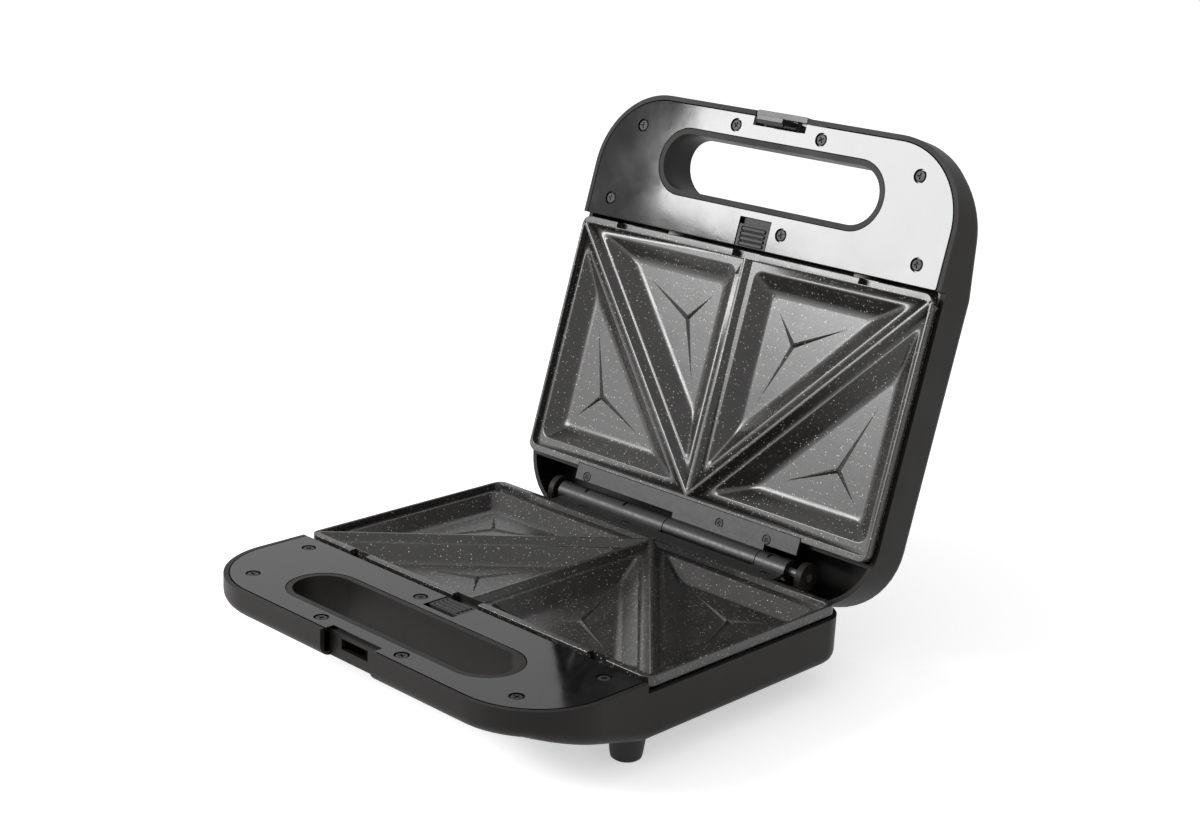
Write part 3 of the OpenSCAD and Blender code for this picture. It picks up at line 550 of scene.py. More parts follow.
@dataclass(frozen=True)
class DrawnMetal(Finish):
    """Rolled, drawn or plated metal with lines along its run."""

    light: str = "#c8c6c2"
    lines: Spot = (0.08, 1, 1)

    def detail(self, tree: bpy.types.NodeTree, shader: bpy.types.Node, place: bpy.types.NodeSocket) -> None:
        """Fine lines along the run and cloudy tarnish."""
        lines = mottle(tree, place, 0.5, self.lines, depth=2)
        tarnish = mottle(tree, place, 14, depth=3)
        self.feed(tree, shader, Base_Color=tinted(tree, tarnish, self.colour, self.light),
                  Roughness=between(tree, lines, self.roughness - 0.07, self.roughness + 0.09),
                  Normal=relief(tree, lines, 0.01, 0.5))


@dataclass(frozen=True)
class PaintedSteel(Finish):
    """Steel under baked enamel: an even skin with slight orange peel, thinner and brighter in places."""

    light: str = "#565654"

    def detail(self, tree: bpy.types.NodeTree, shader: bpy.types.Node, place: bpy.types.NodeSocket) -> None:
        """Orange peel and a slow drift of tone."""
        peel = mottle(tree, place, 2.2, depth=1)
        clouds = mottle(tree, place, 16, depth=3)
        self.feed(tree, shader, Base_Color=tinted(tree, clouds, self.colour, self.light),
                  Roughness=between(tree, peel, self.roughness - 0.04, self.roughness + 0.06),
                  Normal=relief(tree, peel, 0.03, 0.3))


@dataclass(frozen=True)
class Rubber(Finish):
    """Moulded rubber: matt and a little dusty."""

    def detail(self, tree: bpy.types.NodeTree, shader: bpy.types.Node, place: bpy.types.NodeSocket) -> None:
        """Dust in soft patches over a fine grain."""
        dust = mottle(tree, place, 5, depth=4)
        grain = mottle(tree, place, 0.5, depth=1)
        self.feed(tree, shader, Base_Color=tinted(tree, dust, self.colour, "#2e2c2b"),
                  Roughness=between(tree, dust, self.roughness - 0.06, self.roughness + 0.08),
                  Normal=relief(tree, grain, 0.04, 0.5))


@dataclass(frozen=True)
class FiredCeramic(Finish):
    """Unglazed steatite: chalky and faintly speckled."""

    def detail(self, tree: bpy.types.NodeTree, shader: bpy.types.Node, place: bpy.types.NodeSocket) -> None:
        """Speckle and a dry tooth."""
        speckle = mottle(tree, place, 0.8, depth=3)
        self.feed(tree, shader, Base_Color=tinted(tree, speckle, self.colour, "#efe9dc"),
                  Roughness=between(tree, speckle, self.roughness - 0.05, self.roughness + 0.05),
                  Normal=relief(tree, speckle, 0.03, 0.4))


@dataclass(frozen=True)
class WovenSleeve(Finish):
    """Braided glass-fibre sleeve over a lead: crossing strands with shaded gaps."""

    strand: float = 0.5

    def detail(self, tree: bpy.types.NodeTree, shader: bpy.types.Node, place: bpy.types.NodeSocket) -> None:
        """Two sets of strands that cross at a slant."""
        waves = []
        for slant in (0.7, -0.7):
            turned = add_node(tree, "ShaderNodeMapping", {"Rotation": (slant, slant, slant)}, {"Vector": place})
            waves.append(add_node(tree, "ShaderNodeTexWave", {"Scale": 0.16 / (self.strand * MM), "Distortion": 0.4},
                                  {"Vector": turned.outputs[0]}).outputs["Fac"])
        braid = add_node(tree, "ShaderNodeMath", {"operation": "MAXIMUM"}, {0: waves[0], 1: waves[1]}).outputs[0]
        # the gaps between the strands are painted darker than the cream strands: painted shade between the strands
        self.feed(tree, shader, Base_Color=tinted(tree, braid, "#9a9180", self.colour, 0.2, 0.8),
                  Normal=relief(tree, braid, 0.08, 0.7))


@dataclass(frozen=True)
class ClearTinted(Finish):
    """Tinted clear plastic or glass: it passes coloured light and is smooth outside."""

    passing: float = 0.85

    def detail(self, tree: bpy.types.NodeTree, shader: bpy.types.Node, place: bpy.types.NodeSocket) -> None:
        """Moulding swirls that bend the light a little."""
        swirl = mottle(tree, place, 2.5, depth=2)
        shader.inputs["Transmission Weight"].default_value = self.passing
        self.feed(tree, shader, Roughness=between(tree, swirl, self.roughness - 0.03, self.roughness + 0.04),
                  Normal=relief(tree, swirl, 0.02, 0.3))


FINISHES: dict[str, Finish] = {
    # ABS from an eroded mould: near black, its dry skin greys where it faces the light
    "housing_black": GrainedPlastic("ABS, eroded grain, black", "#100d0b", 0.5, 0.2, light="#161210"),
    # ABS from a polished mould: black with a mirror's clear image on it
    "cover_gloss": PolishedPlastic("ABS, mirror polished, black", "#060606", 0.07, 0.38),
    # carbon steel, chemically blackened: dark with a dull metal glint in the recess
    "screw_black": DrawnMetal("carbon steel, blackened", "#0e0c0b", 0.46, metallic=0.25, light="#171411"),
    # die-cast aluminium, PTFE coated: dark and satin, with mica flecks
    "plate_coating": CoatedCasting("cast aluminium, PTFE coated", "#1d1b1a", 0.27, 0.6),
    # steel, zinc plated: pale and slightly blue
    "screw_zinc": DrawnMetal("steel, zinc plated", "#a9abad", 0.3, metallic=1.0),
    # aluminised sheet steel: soft silver with rolling lines
    "reflector_steel": DrawnMetal("sheet steel, aluminised", "#b4b4b2", 0.36, metallic=1.0),
    # stainless tube dulled by heat: brownish grey
    "element_steel": DrawnMetal("stainless tube, heat tinted", "#6f655c", 0.42, metallic=1.0, light="#8a8078"),
    # steatite: chalky off-white
    "ceramic": FiredCeramic("steatite, fired", "#ddd6c8", 0.75, 0.4),
    # ABS, fine grain, dark grey: a soft touch of light on each rib
    "button_grey": GrainedPlastic("ABS, fine grain, dark grey", "#1a1a1a", 0.5, 0.35, light="#222222", grain=0.5),
    # spring steel wire: bright, drawn along its length
    "spring_steel": DrawnMetal("spring steel, drawn", "#8d8b88", 0.3, metallic=1.0),
    # sheet steel, black enamel: semi-gloss over pressed sheet
    "hinge_black": PaintedSteel("sheet steel, enamelled black", "#121211", 0.4, 0.5, light="#191918"),
    # aluminium cup, drawn
    "thermostat_body": DrawnMetal("aluminium, deep drawn", "#b9b2a4", 0.4, metallic=1.0),
    # brass can
    "fuse_body": DrawnMetal("brass, turned", "#b59a5c", 0.33, metallic=1.0, light="#c9b077"),
    # polyamide, natural: milky and waxy
    "terminal_plastic": GrainedPlastic("polyamide, natural", "#cfc9b8", 0.5, 0.4, light="#dcd7c8", grain=0.6),
    # EPDM rubber: matt black
    "gland_rubber": Rubber("EPDM rubber, moulded", "#1c1b1b", 0.7, 0.3),
    # glass-fibre braid: cream
    "wire_insulation": WovenSleeve("glass fibre, braided", "#e0d7c2", 0.7, 0.3),
    # silicone rubber: matt black and slightly dusty
    "foot_rubber": Rubber("silicone rubber, moulded", "#1e1d1d", 0.62, 0.35),
    "lens_red": ClearTinted("polycarbonate, clear red", "#c81e1e", 0.12),
    "lens_green": ClearTinted("polycarbonate, clear green", "#1f8f4a", 0.12),
    "neon_glass": ClearTinted("soda glass, clear", "#f3d7bd", 0.06, passing=0.95),
    # PBT, moulded dark grey: satin
    "latch_grey": GrainedPlastic("PBT, satin, dark grey", "#1a1a1a", 0.34, 0.45, light="#222222", grain=0.5),
    "pin_steel": DrawnMetal("steel, ground and oiled", "#4a4845", 0.42, metallic=0.6, light="#5a5855"),
}


# ---- sub-assemblies ----


@dataclass
class Housing:
    """The moulded shell of one half: walls, slot collar, bosses, partition and front recess."""

    half: Half
    depth: float
    handle_depth: float
    rear_v: float
    rear_corner: float
    recess_v: float
    recess_wall_low: float

    def solid(self, name: str, inset: float, top: float) -> Workpiece:
        """The half's outer form, or its cavity.

        Args:
            name: The workpiece's name.
            inset: How far it lies inside the outer form.
            top: The level that it ends at.
        Returns:
            A block with a sloped bottom and rounded corners. The outer form's lower edge is rounded too.
        """
        shape = SHAPE
        rise = self.depth - self.handle_depth
        shift = inset * math.tan(math.atan(rise / (shape.slope_end - shape.slope_start)) / 2)
        floor, side = inset - self.depth, shape.half_width - inset
        start, end = shape.slope_start + shift, shape.slope_end + shift
        rear, front = self.rear_v + inset, shape.reach - inset
        body = Workpiece.block(name, (-side, side), (rear, front), (floor, top))
        body.round_edges(self.rear_corner - inset, 12, lambda c: upright(c) and near(c[0].y, rear))
        body.round_edges(shape.handle_corner - inset, 20, lambda c: upright(c) and near(c[0].y, front))
        wedge = Workpiece.block("wedge", (-side - 9, side + 9), (start, front + 9), (floor - 20, floor + rise))
        wedge.slice((0, end, 0), (0, 1, 0))
        wedge.move(lambda c: near(c[0].y, start) and c[0].z > floor, w=-rise)
        body.combine("DIFFERENCE", wedge)

        def on_lower_edge(corners: Corners) -> bool:
            """Whether an edge runs round the bottom, and isn't one of the two bends across it."""
            across = any(all(near(c.y, bend) for c in corners) for bend in (start, end))
            levels = [floor + rise * min(max((c.y - start) / (end - start), 0), 1) for c in corners]
            return not across and all(near(c.z, level) for c, level in zip(corners, levels))

        if inset == 0:
            body.round_edges(shape.lower_edge, 5, on_lower_edge)
        return body

    def core(self) -> Workpiece:
        """The cavity, less everything that stands in it."""
        shape = SHAPE
        core = self.solid("core", shape.wall, 1.0)
        core.combine("DIFFERENCE", Workpiece.slot_core("collar", 2.8, (-40, -0.1)))
        side = shape.half_width
        bars = Workpiece.block("partition", (-side, side), (shape.shelf_v, shape.shelf_v + shape.wall),
                               (-40, -shape.cover_thickness))
        bars.join(Workpiece.block("bulkhead", (-side, side), (12.4, 14.4), (-40, -shape.sink)))
        core.combine("DIFFERENCE", bars)
        posts = [Workpiece.rod("post", 3.5, (u, v, -40), (u, v, -shape.cover_thickness)) for u, v in COVER_SCREWS]
        posts += [Workpiece.rod("post", 3.5, (u, v, -40), (u, v, -19.3)) for u, v in TRAY_SCREWS]
        core.combine("DIFFERENCE", posts[0].join(*posts[1:]))
        return core

    def shell(self) -> Workpiece:
        """The shell with its step beside the plate, finger slot and front recess."""
        shape = SHAPE
        shell = self.solid(f"{self.half.value}_shell", 0, -0.1)
        shell.combine("DIFFERENCE", self.core())
        step = Workpiece.block("step", (-120, 120), (-40, shape.shelf_v), (-shape.sink, 5))
        slot = Workpiece.slot_core("slot", 0, (-40, 5))
        recess = Workpiece.block("recess", (-shape.notch_half, shape.notch_half), (self.recess_v, 220), (-25, 5))
        return shell.combine("DIFFERENCE", step, slot, recess)

    def fittings(self) -> list[Workpiece]:
        """What this half alone has on its shell."""
        raise NotImplementedError

    def build(self) -> None:
        """Models and dresses the shell."""
        shell = self.shell().join(*self.fittings()).soften(0.55, 3)
        shell.settle(self.half, self.half.value, FINISHES["housing_black"], "housing_black",
                     f"{self.half.value}_housing")


@dataclass
class BaseHousing(Housing):
    """The lower shell, with hinge ears, lid stops and the keeper that the latch snaps under."""

    half: Half = Half.BASE
    depth: float = 28.0
    handle_depth: float = 13.5
    rear_v: float = 6.4
    rear_corner: float = 16.0
    recess_v: float = 207.2
    recess_wall_low: float = -12.7
    keeper_low: float = -3.4
    ear_u: float = 80.6
    ear_thickness: float = 3.4
    ear_radius: float = 7.0

    def fittings(self) -> list[Workpiece]:
        """Ears, stop ribs and the recess wall with its keeper.

        Returns:
            The workpieces, in place.
        """
        half_width = SHAPE.notch_half + 0.5
        wall = Workpiece.block("recess_wall", (-half_width, half_width), (205.0, 207.4), (self.recess_wall_low, -1.5))
        mouth = Workpiece.block("mouth", (-8.7, 8.7), (203.0, 209.0), (-8.4, self.keeper_low))
        pieces = [wall.combine("DIFFERENCE", mouth)]
        pieces += [Workpiece.block("stop_rib", (u - 3, u + 3), (-1.7, 7.4), (-15, -9.4)) for u in (-50, 0, 50)]
        for side in (-1, 1):
            inner, outer = side * self.ear_u, side * (self.ear_u + self.ear_thickness)
            eye = Workpiece.rod("ear", self.ear_radius, (inner, 0, AXIS_W / MM), (outer, 0, AXIS_W / MM), 40)
            web = Workpiece.block("web", tuple(sorted((inner, outer))), (0, 7.4), (-12, AXIS_W / MM))
            pieces.append(eye.combine("UNION", web))
        return pieces


@dataclass
class LidHousing(Housing):
    """The upper shell, with the latch's recess and the two lamp holes."""

    half: Half = Half.LID
    depth: float = 30.5
    handle_depth: float = 17.5
    rear_v: float = -14.0
    rear_corner: float = 36.0
    recess_v: float = 203.6
    recess_wall_low: float = -16.7
    lamp_u: float = 4.6
    lamp_v: float = 157.0

    def shell(self) -> Workpiece:
        """The shell with holes for the lamps through its slope."""
        shape = SHAPE
        fall = (self.depth - self.handle_depth) / (shape.slope_end - shape.slope_start)
        level = (self.lamp_v - shape.slope_start) * fall - self.depth
        lean = math.atan(fall)
        shell = super().shell()
        for side in (-1, 1):
            out = Vector((0, math.sin(lean), -math.cos(lean)))
            ends = [(side * self.lamp_u, self.lamp_v + out.y * run, level + out.z * run) for run in (3, -8)]
            shell.combine("DIFFERENCE", Workpiece.rod("lamp_hole", 3.2, *ends))
        return shell

    def fittings(self) -> list[Workpiece]:
        """The recess wall and the cheeks that hold the latch pin.

        Returns:
            The workpieces, in place.
        """
        half_width = SHAPE.notch_half + 0.5
        wall = Workpiece.block("recess_wall", (-half_width, half_width), (201.6, 203.6), (self.recess_wall_low, -2.1))
        cheeks = [Workpiece.block("cheek", (side * 10.2 - 1, side * 10.2 + 1), (202.6, 209.7), (-7.2, -2.1))
                  for side in (-1, 1)]
        return [wall, *cheeks]


@dataclass
class HandleCover:
    """The mirror-black panel round the finger slot."""

    half: Half
    rear_v: float = 145.5
    slot_gap: float = 3.2
    window_half: float = 10.0
    window_v: float = 160.1
    notch_v: float = 205.5
    screw_recess: float = 3.5

    def build(self) -> None:
        """Models the panel with its slot, window, notch and screw recesses, and dresses it."""
        shape = SHAPE
        margin = shape.wall + shape.cover_gap
        side, front = shape.half_width - margin, shape.reach - margin
        name = f"{self.half.value}_cover_panel"
        panel = Workpiece.block(name, (-side, side), (self.rear_v, front), (-shape.cover_thickness, 0))
        panel.round_edges(1.0, 3, lambda c: upright(c) and near(c[0].y, self.rear_v))
        panel.round_edges(shape.handle_corner - margin, 24, lambda c: upright(c) and near(c[0].y, front))
        window = Workpiece.block("window", (-self.window_half, self.window_half), (140, self.window_v), (-5, 5))
        notch = Workpiece.block("notch", (-shape.notch_half, shape.notch_half), (self.notch_v, 220), (-5, 5))
        panel.combine("DIFFERENCE", Workpiece.slot_core("slot", self.slot_gap, (-5, 5)), window, notch)
        recesses = [Workpiece.rod("recess", self.screw_recess, (u, v, -1.3), (u, v, 3), 40) for u, v in COVER_SCREWS]
        panel.combine("DIFFERENCE", recesses[0].join(*recesses[1:]))
        panel.soften(0.4, 3)
        panel.settle(self.half, self.half.value, FINISHES["cover_gloss"], "cover_gloss",
                     f"{self.half.value}_handle_cover")


@dataclass
class Screws:
    """Cross-head screws of one size, modelled once and copied to their places."""

    half: Half
    name: str
    node: str
    places: Sequence[tuple[float, float]]
    seat: float
    head_radius: float = 2.9
    head_height: float = 1.1
    shank_radius: float = 1.3
    length: float = 9.0

    def build(self) -> None:
        """Models one screw with a rounded head and a cross recess, copies it and dresses the set."""
        screw = Workpiece.rod(f"{self.name}_heads", self.head_radius, (0, 0, 0), (0, 0, self.head_height), 28)
        screw.round_edges(self.head_height * 0.55, 4, lambda c: all(near(p.z, self.head_height) for p in c))
        arm, half_slot = self.head_radius * 0.72, self.head_radius * 0.17
        deep = self.head_height * 0.2
        for span, across in ((arm, half_slot), (half_slot, arm)):
            bit = Workpiece.block("bit", (-span, span), (-across, across), (deep, 4))
            bit.squeeze(lambda c: near(c[0].z, deep), (0.7, 0.7, 1), (0, 0, deep))
            screw.combine("DIFFERENCE", bit)
        screw.join(Workpiece.rod("shank", self.shank_radius, (0, 0, -self.length), (0, 0, 0.05), 16))
        places = [Matrix.Translation(spot(u, v, self.seat)) @ Matrix.Rotation(math.radians(-u), 4, "Z")
                  for u, v in self.places]
        heads = screw.copied(places).soften(0)
        heads.settle(self.half, self.half.value, FINISHES["screw_black"], "screw_black", self.node)


@dataclass
class CookingPlate:
    """A cast plate with a raised rim, four sunk triangular pockets and cutting fins on the diagonals."""

    half: Half
    half_width: float = 112.0
    near_v: float = 14.6
    far_v: float = 143.4
    rim: float = 1.2
    skirt: float = 4.6
    land: float = -1.8
    pocket_depth: float = 7.0
    pocket_lean: float = 8.0
    casting: float = 2.6
    lip: float = 3.7
    fin_height: float = 3.0
    fin_base: float = 3.0
    fin_top: float = 0.8
    band: float = 6.5
    pocket_corner: float = 5.0
    crease_height: float = 0.9
    crease_shift: float = 3.5

    @property
    def apex(self) -> float:
        """v where the diagonal fins meet."""
        return self.near_v + self.lip

    @property
    def run(self) -> Vector:
        """A diagonal fin's run from the apex, across and along."""
        return Vector((self.half_width - 1.6, self.far_v - self.lip - self.apex))

    def edge_u(self, v: float, side: int) -> float:
        """u on the pocket edge beside a diagonal, outside (1) or inside (-1) of it."""
        return (self.run.x * (v - self.apex) + side * self.band * self.run.length) / self.run.y

    def edge_v(self, u: float, side: int) -> float:
        """v on that edge at a given u."""
        return self.apex + (self.run.y * u - side * self.band * self.run.length) / self.run.x

    def pockets(self) -> list[list[Vector]]:
        """Corners of the outer and inner pocket at the level of the lands, on the side of positive u."""
        side, low, high = self.half_width - 5.2, self.apex + 5.1, self.far_v - 8.2
        outer = [(self.edge_u(low, 1), low), (side, low), (side, self.edge_v(side, 1))]
        inner = [(self.band, self.edge_v(self.band, -1)), (self.edge_u(high, -1), high), (self.band, high)]
        return [[Vector(corner) for corner in triangle] for triangle in (outer, inner)]

    @staticmethod
    def incircle(triangle: Sequence[Vector]) -> tuple[Vector, float]:
        """The circle that fits in a triangle.

        Args:
            triangle: Its three corners.
        Returns:
            The circle's middle and radius.
        """
        a, b, c = triangle
        sides = [(b - c).length, (c - a).length, (a - b).length]
        middle = (a * sides[0] + b * sides[1] + c * sides[2]) / sum(sides)
        area = abs((b - a).cross(c - a)) / 2
        return middle, 2 * area / sum(sides)

    def wall_profile(self) -> list[tuple[float, float]]:
        """A pocket's wall from above the lands down to its floor.

        Returns:
            Pairs of level and distance inside the pocket's edge: a rounded brink, a leaning wall and a
            hollow rounding onto the floor.
        """
        lean = math.atan2(self.pocket_depth, self.pocket_lean)
        floor = self.land - self.pocket_depth
        brink, hollow, steps = 1.8, 6.5, 6
        reach = brink * math.tan(lean / 2)
        points = [(self.land + 0.8, -reach - 0.9)]
        for step in range(steps + 1):
            a = lean * step / steps
            points.append((self.land - brink * (1 - math.cos(a)), -reach + brink * math.sin(a)))
        reach = hollow * math.tan(lean / 2)
        for step in range(steps, -1, -1):
            a = lean * step / steps
            points.append((floor + hollow * (1 - math.cos(a)), self.pocket_lean + reach - hollow * math.sin(a)))
        return points

    def pocket_tool(self, triangle: Sequence[Vector], grow: float) -> Workpiece:
        """A tapered block with the form of a pocket.

        Args:
            triangle: The pocket's corners at the lands.
            grow: How much wider and deeper the block is than the pocket, 0 for the pocket itself.
        Returns:
            The block.
        """
        middle, radius = self.incircle(triangle)
        Workpiece.clear_selection()
        bpy.ops.mesh.primitive_circle_add(vertices=3, radius=MM, fill_type="NGON")
        tool = Workpiece._added("pocket_tool")
        profile = self.wall_profile()
        start_w, start_inset = profile[0]
        ahead = (radius - start_inset + grow) / radius
        targets = [middle + (corner - middle) * ahead for corner in triangle]
        starts = sorted((half_frame(v.co) for v in tool.obj.data.vertices), key=lambda p: math.atan2(p.y, p.x))
        targets.sort(key=lambda p: math.atan2(p.y - middle.y, p.x - middle.x))
        for start, target in zip(starts, targets):
            tool.move(lambda c, s=start: (c[0] - s).length < 0.01, target.x - start.x, target.y - start.y,
                      start_w - grow)
        with tool.editing("VERT", lambda c: True):
            bpy.ops.mesh.bevel(offset=self.pocket_corner * MM, segments=6, affect="VERTICES")
        previous = start_inset
        for (w, inset), (w_before, _) in zip(profile[1:], profile):
            factor = (radius - inset + grow) / (radius - previous + grow)
            level = w_before - grow
            with tool.editing("FACE", lambda c: all(near(p.z, level, 0.02) for p in c)):
                bpy.ops.mesh.extrude_region_move(TRANSFORM_OT_translate={"value": spot(0, 0, w - w_before)})
                bpy.ops.transform.resize(value=(factor, factor, 1), center_override=spot(middle.x, middle.y, w))
            previous = inset
        with tool.editing("FACE", lambda c: True):
            bpy.ops.mesh.normals_make_consistent(inside=False)
        return tool

    def mirrored(self, piece: Workpiece) -> Workpiece:
        """The same workpiece on the other side of the middle."""
        piece.activate()
        bpy.ops.object.duplicate(linked=False)
        twin = Workpiece(bpy.context.object)
        twin.obj.scale.x = -1
        bpy.ops.object.transform_apply(location=True, rotation=True, scale=True)
        with twin.editing("FACE", lambda c: True):
            bpy.ops.mesh.normals_make_consistent(inside=False)
        return twin

    def fin(self, start: Vector, end: Vector) -> Workpiece:
        """A cutting fin: a low ridge with leaning sides and a narrow top.

        Args:
            start, end: Where it begins and ends.
        Returns:
            The fin, along its line.
        """
        run = end - start
        low, high = self.land - 0.8, self.land + self.fin_height
        spread = self.fin_base + (self.fin_base - self.fin_top) * 0.8 / self.fin_height
        fin = Workpiece.block("fin", (0, run.length), (-spread, spread), (low, high))
        fin.squeeze(lambda c: near(c[0].z, high), (1, self.fin_top / spread, 1), (0, 0, high))
        fin.round_edges(0.45, 3, lambda c: all(near(p.z, high) for p in c) and abs(c[0].x - c[1].x) > 1)
        turn = Matrix.Rotation(-math.atan2(run.y, run.x), 4, "Z")
        return fin.copied([Matrix.Translation(spot(start.x, start.y, 0)) @ turn])

    def creases(self, triangle: Sequence[Vector]) -> list[Workpiece]:
        """Three tapered ridges from the middle of a pocket towards its corners."""
        middle, _ = self.incircle(triangle)
        middle.y -= self.crease_shift if near(min(corner.x for corner in triangle), self.band) else 0
        floor = self.land - self.pocket_depth
        ridges = []
        for corner in triangle:
            run = corner - middle
            length = run.length * 0.62
            Workpiece.clear_selection()
            bpy.ops.mesh.primitive_cone_add(vertices=4, radius1=MM, depth=(self.crease_height + 0.3) * MM)
            ridge = Workpiece._added("crease")
            ridge.move(lambda c: c[0].x > 0.5, u=length - 1)
            ridge.squeeze(lambda c: abs(c[0].y) > 0.5, (1, 1.7, 1), (0, 0, 0))
            ridge.move(lambda c: c[0].z > 0.1, u=0.4)
            turn = Matrix.Rotation(-math.atan2(run.y, run.x), 4, "Z")
            lift = (self.crease_height + 0.3) / 2 - 0.3
            ridges.append(ridge.copied([Matrix.Translation(spot(middle.x, middle.y, floor + lift)) @ turn]))
        return ridges

    def slab(self) -> Workpiece:
        """The plate without its pockets: skirt, rounded rim and sunk lands."""
        width, v = self.half_width, (self.near_v, self.far_v)
        slab = Workpiece.block(f"{self.half.value}_plate_casting", (-width, width), v, (self.rim - self.skirt, self.rim))
        slab.round_edges(5.0, 6, upright)
        side_lip = 1.6
        with slab.editing("FACE", lambda c: all(near(p.z, self.rim) for p in c)):
            bpy.ops.mesh.inset(thickness=side_lip * MM)
            length = self.far_v - self.near_v
            factor = (length - 2 * self.lip) / (length - 2 * side_lip)
            middle = spot(0, (self.near_v + self.far_v) / 2, self.rim)
            bpy.ops.transform.resize(value=(1, factor, 1), center_override=middle)
            bpy.ops.mesh.extrude_region_move(TRANSFORM_OT_translate={"value": spot(0, 0, self.land - self.rim)})
            bpy.ops.transform.resize(value=(0.9965, 0.994, 1), center_override=middle)
        slab.round_edges(0.5, 3, lambda c: all(near(p.z, self.rim) for p in c))
        under = Workpiece.block("under", (-width + 1.4, width - 1.4), (v[0] + 1.4, v[1] - 1.4),
                                (self.land - self.casting, self.land - 0.6))
        return slab.combine("UNION", under)

    def build(self) -> None:
        """Models and dresses the plate."""
        plate = self.slab()
        for triangle in self.pockets():
            pan = self.pocket_tool(triangle, 1.9)
            top = self.land - self.casting + 0.5
            pan.combine("DIFFERENCE", Workpiece.block("above", (-150, 150), (-20, 200), (top, 20)))
            plate.combine("UNION", self.mirrored(pan), pan)
            pocket = self.pocket_tool(triangle, 0)
            plate.combine("DIFFERENCE", self.mirrored(pocket), pocket)
        start = Vector((0, self.apex))
        diagonal = self.fin(start, start + self.run * 1.003)
        middle = self.fin(Vector((0, self.apex - 0.5)), Vector((0, self.far_v - self.lip + 0.5)))
        plate.combine("UNION", self.mirrored(diagonal), diagonal, middle)
        strip = Workpiece.block("strip_cut", (-74.1, 74.1), (self.near_v - 1, 16.7), (-0.5, 5))
        tongue = Workpiece.block("tongue_cut", (-8.6, 8.6), (self.far_v - 3.4, self.far_v + 1), (-3.3, 5))
        marks = [Workpiece.block("mark", (u - 5.6, u + 5.6), (self.far_v - 3.0, self.far_v + 1), (-3.3, 5))
                 for u in (-74.8, 82.0)]
        plate.combine("DIFFERENCE", strip, tongue, *marks)
        ridges = [ridge for triangle in self.pockets() for ridge in self.creases(triangle)]
        ridges += [self.mirrored(ridge) for ridge in list(ridges)]
        plate.soften(0).join(*ridges)
        plate.settle(self.half, self.half.value, FINISHES["plate_coating"], "plate_coating",
                     f"{self.half.value}_plate")


@dataclass
class HingeLeaf:
    """A steel strip with its knuckles round the hinge pin."""

    half: Half
    knuckles: Sequence[Span]
    marks: Sequence[float]
    half_length: float = 73.6
    near_v: float = 8.0
    far_v: float = 16.4
    thickness: float = 1.6
    barrel: float = 5.3
    pin: float = 2.05

    def build(self) -> None:
        """Models the strip, its screw seats and its knuckles, and dresses them."""
        axis = AXIS_W / MM
        top = axis - 0.1
        low = top - self.thickness
        leaf = Workpiece.block(f"{self.half.value}_hinge_strip", (-self.half_length, self.half_length),
                               (self.near_v, self.far_v), (low, top))
        seats = [Workpiece.rod("seat", 2.6, (u, v, top - 0.6), (u, v, top + 2), 32) for u, v in HINGE_SCREWS]
        leaf.combine("DIFFERENCE", seats[0].join(*seats[1:]))
        for start, end in self.knuckles:
            barrel = Workpiece.rod("knuckle", self.barrel, (start, 0, axis), (end, 0, axis), 48)
            web_u = (max(start, -self.half_length), min(end, self.half_length))
            web = Workpiece.block("web", web_u, (2.0, self.near_v + 1), (low, top - 0.02))
            barrel.combine("UNION", web)
            barrel.combine("DIFFERENCE", Workpiece.rod("bore", self.pin, (start - 1, 0, axis), (end + 1, 0, axis)))
            for mark in self.marks:
                if start < mark < end:
                    notch = Workpiece.block("notch", (mark - 0.7, mark + 0.7), (-1, 7), (axis + 4.2, axis + 8))
                    barrel.combine("DIFFERENCE", notch)
            leaf.join(barrel)
        leaf.soften(0.35, 2)
        leaf.settle(self.half, self.half.value, FINISHES["hinge_black"], "hinge_black",
                    f"{self.half.value}_hinge_leaf")


@dataclass
class ReleaseButton:
    """A ribbed slide that lets the plate go."""

    half: Half
    half_width: float = 9.5
    start_v: float = 143.8
    end_v: float = 156.6
    rib_pitch: float = 2.5
    ribs: int = 4

    def build(self) -> None:
        """Models the slide, its capsule ribs, wings and tongue, and dresses them."""
        body = Workpiece.block(f"{self.half.value}_button_slide", (-self.half_width, self.half_width),
                               (145.4, self.end_v), (-4, -0.3))
        body.join(Workpiece.block("wings", (-12.3, 12.3), (146.0, 155.6), (-6.5, -2.3)),
                  Workpiece.block("tongue", (-4.2, 4.2), (140.6, 146.6), (-2.6, -1.4)),
                  Workpiece.block("apron", (-8.9, 8.9), (155.0, 161.6), (-3.6, -2.5)),
                  Workpiece.block("leg", (-5, 5), (146.0, 148.0), (-12.7, -4)))
        ribs = []
        for step in range(self.ribs):
            v = self.end_v - 2.2 - step * self.rib_pitch
            groove = Workpiece.block("groove", (-8.1, 8.1), (v - 1.15, v + 1.15), (-1.5, 2))
            groove.round_edges(1.1, 6, upright)
            body.combine("DIFFERENCE", groove)
            rib = Workpiece.block("rib", (-7.4, 7.4), (v - 0.78, v + 0.78), (-1.8, 0.0))
            rib.round_edges(0.74, 6, upright)
            rib.round_edges(0.3, 3, lambda c: all(near(p.z, 0) for p in c))
            ribs.append(rib)
        body.join(*ribs)
        body.soften(0.3, 2)
        body.settle(self.half, f"{self.half.value}_button", FINISHES["button_grey"], "button_grey",
                    f"{self.half.value}_release_button")


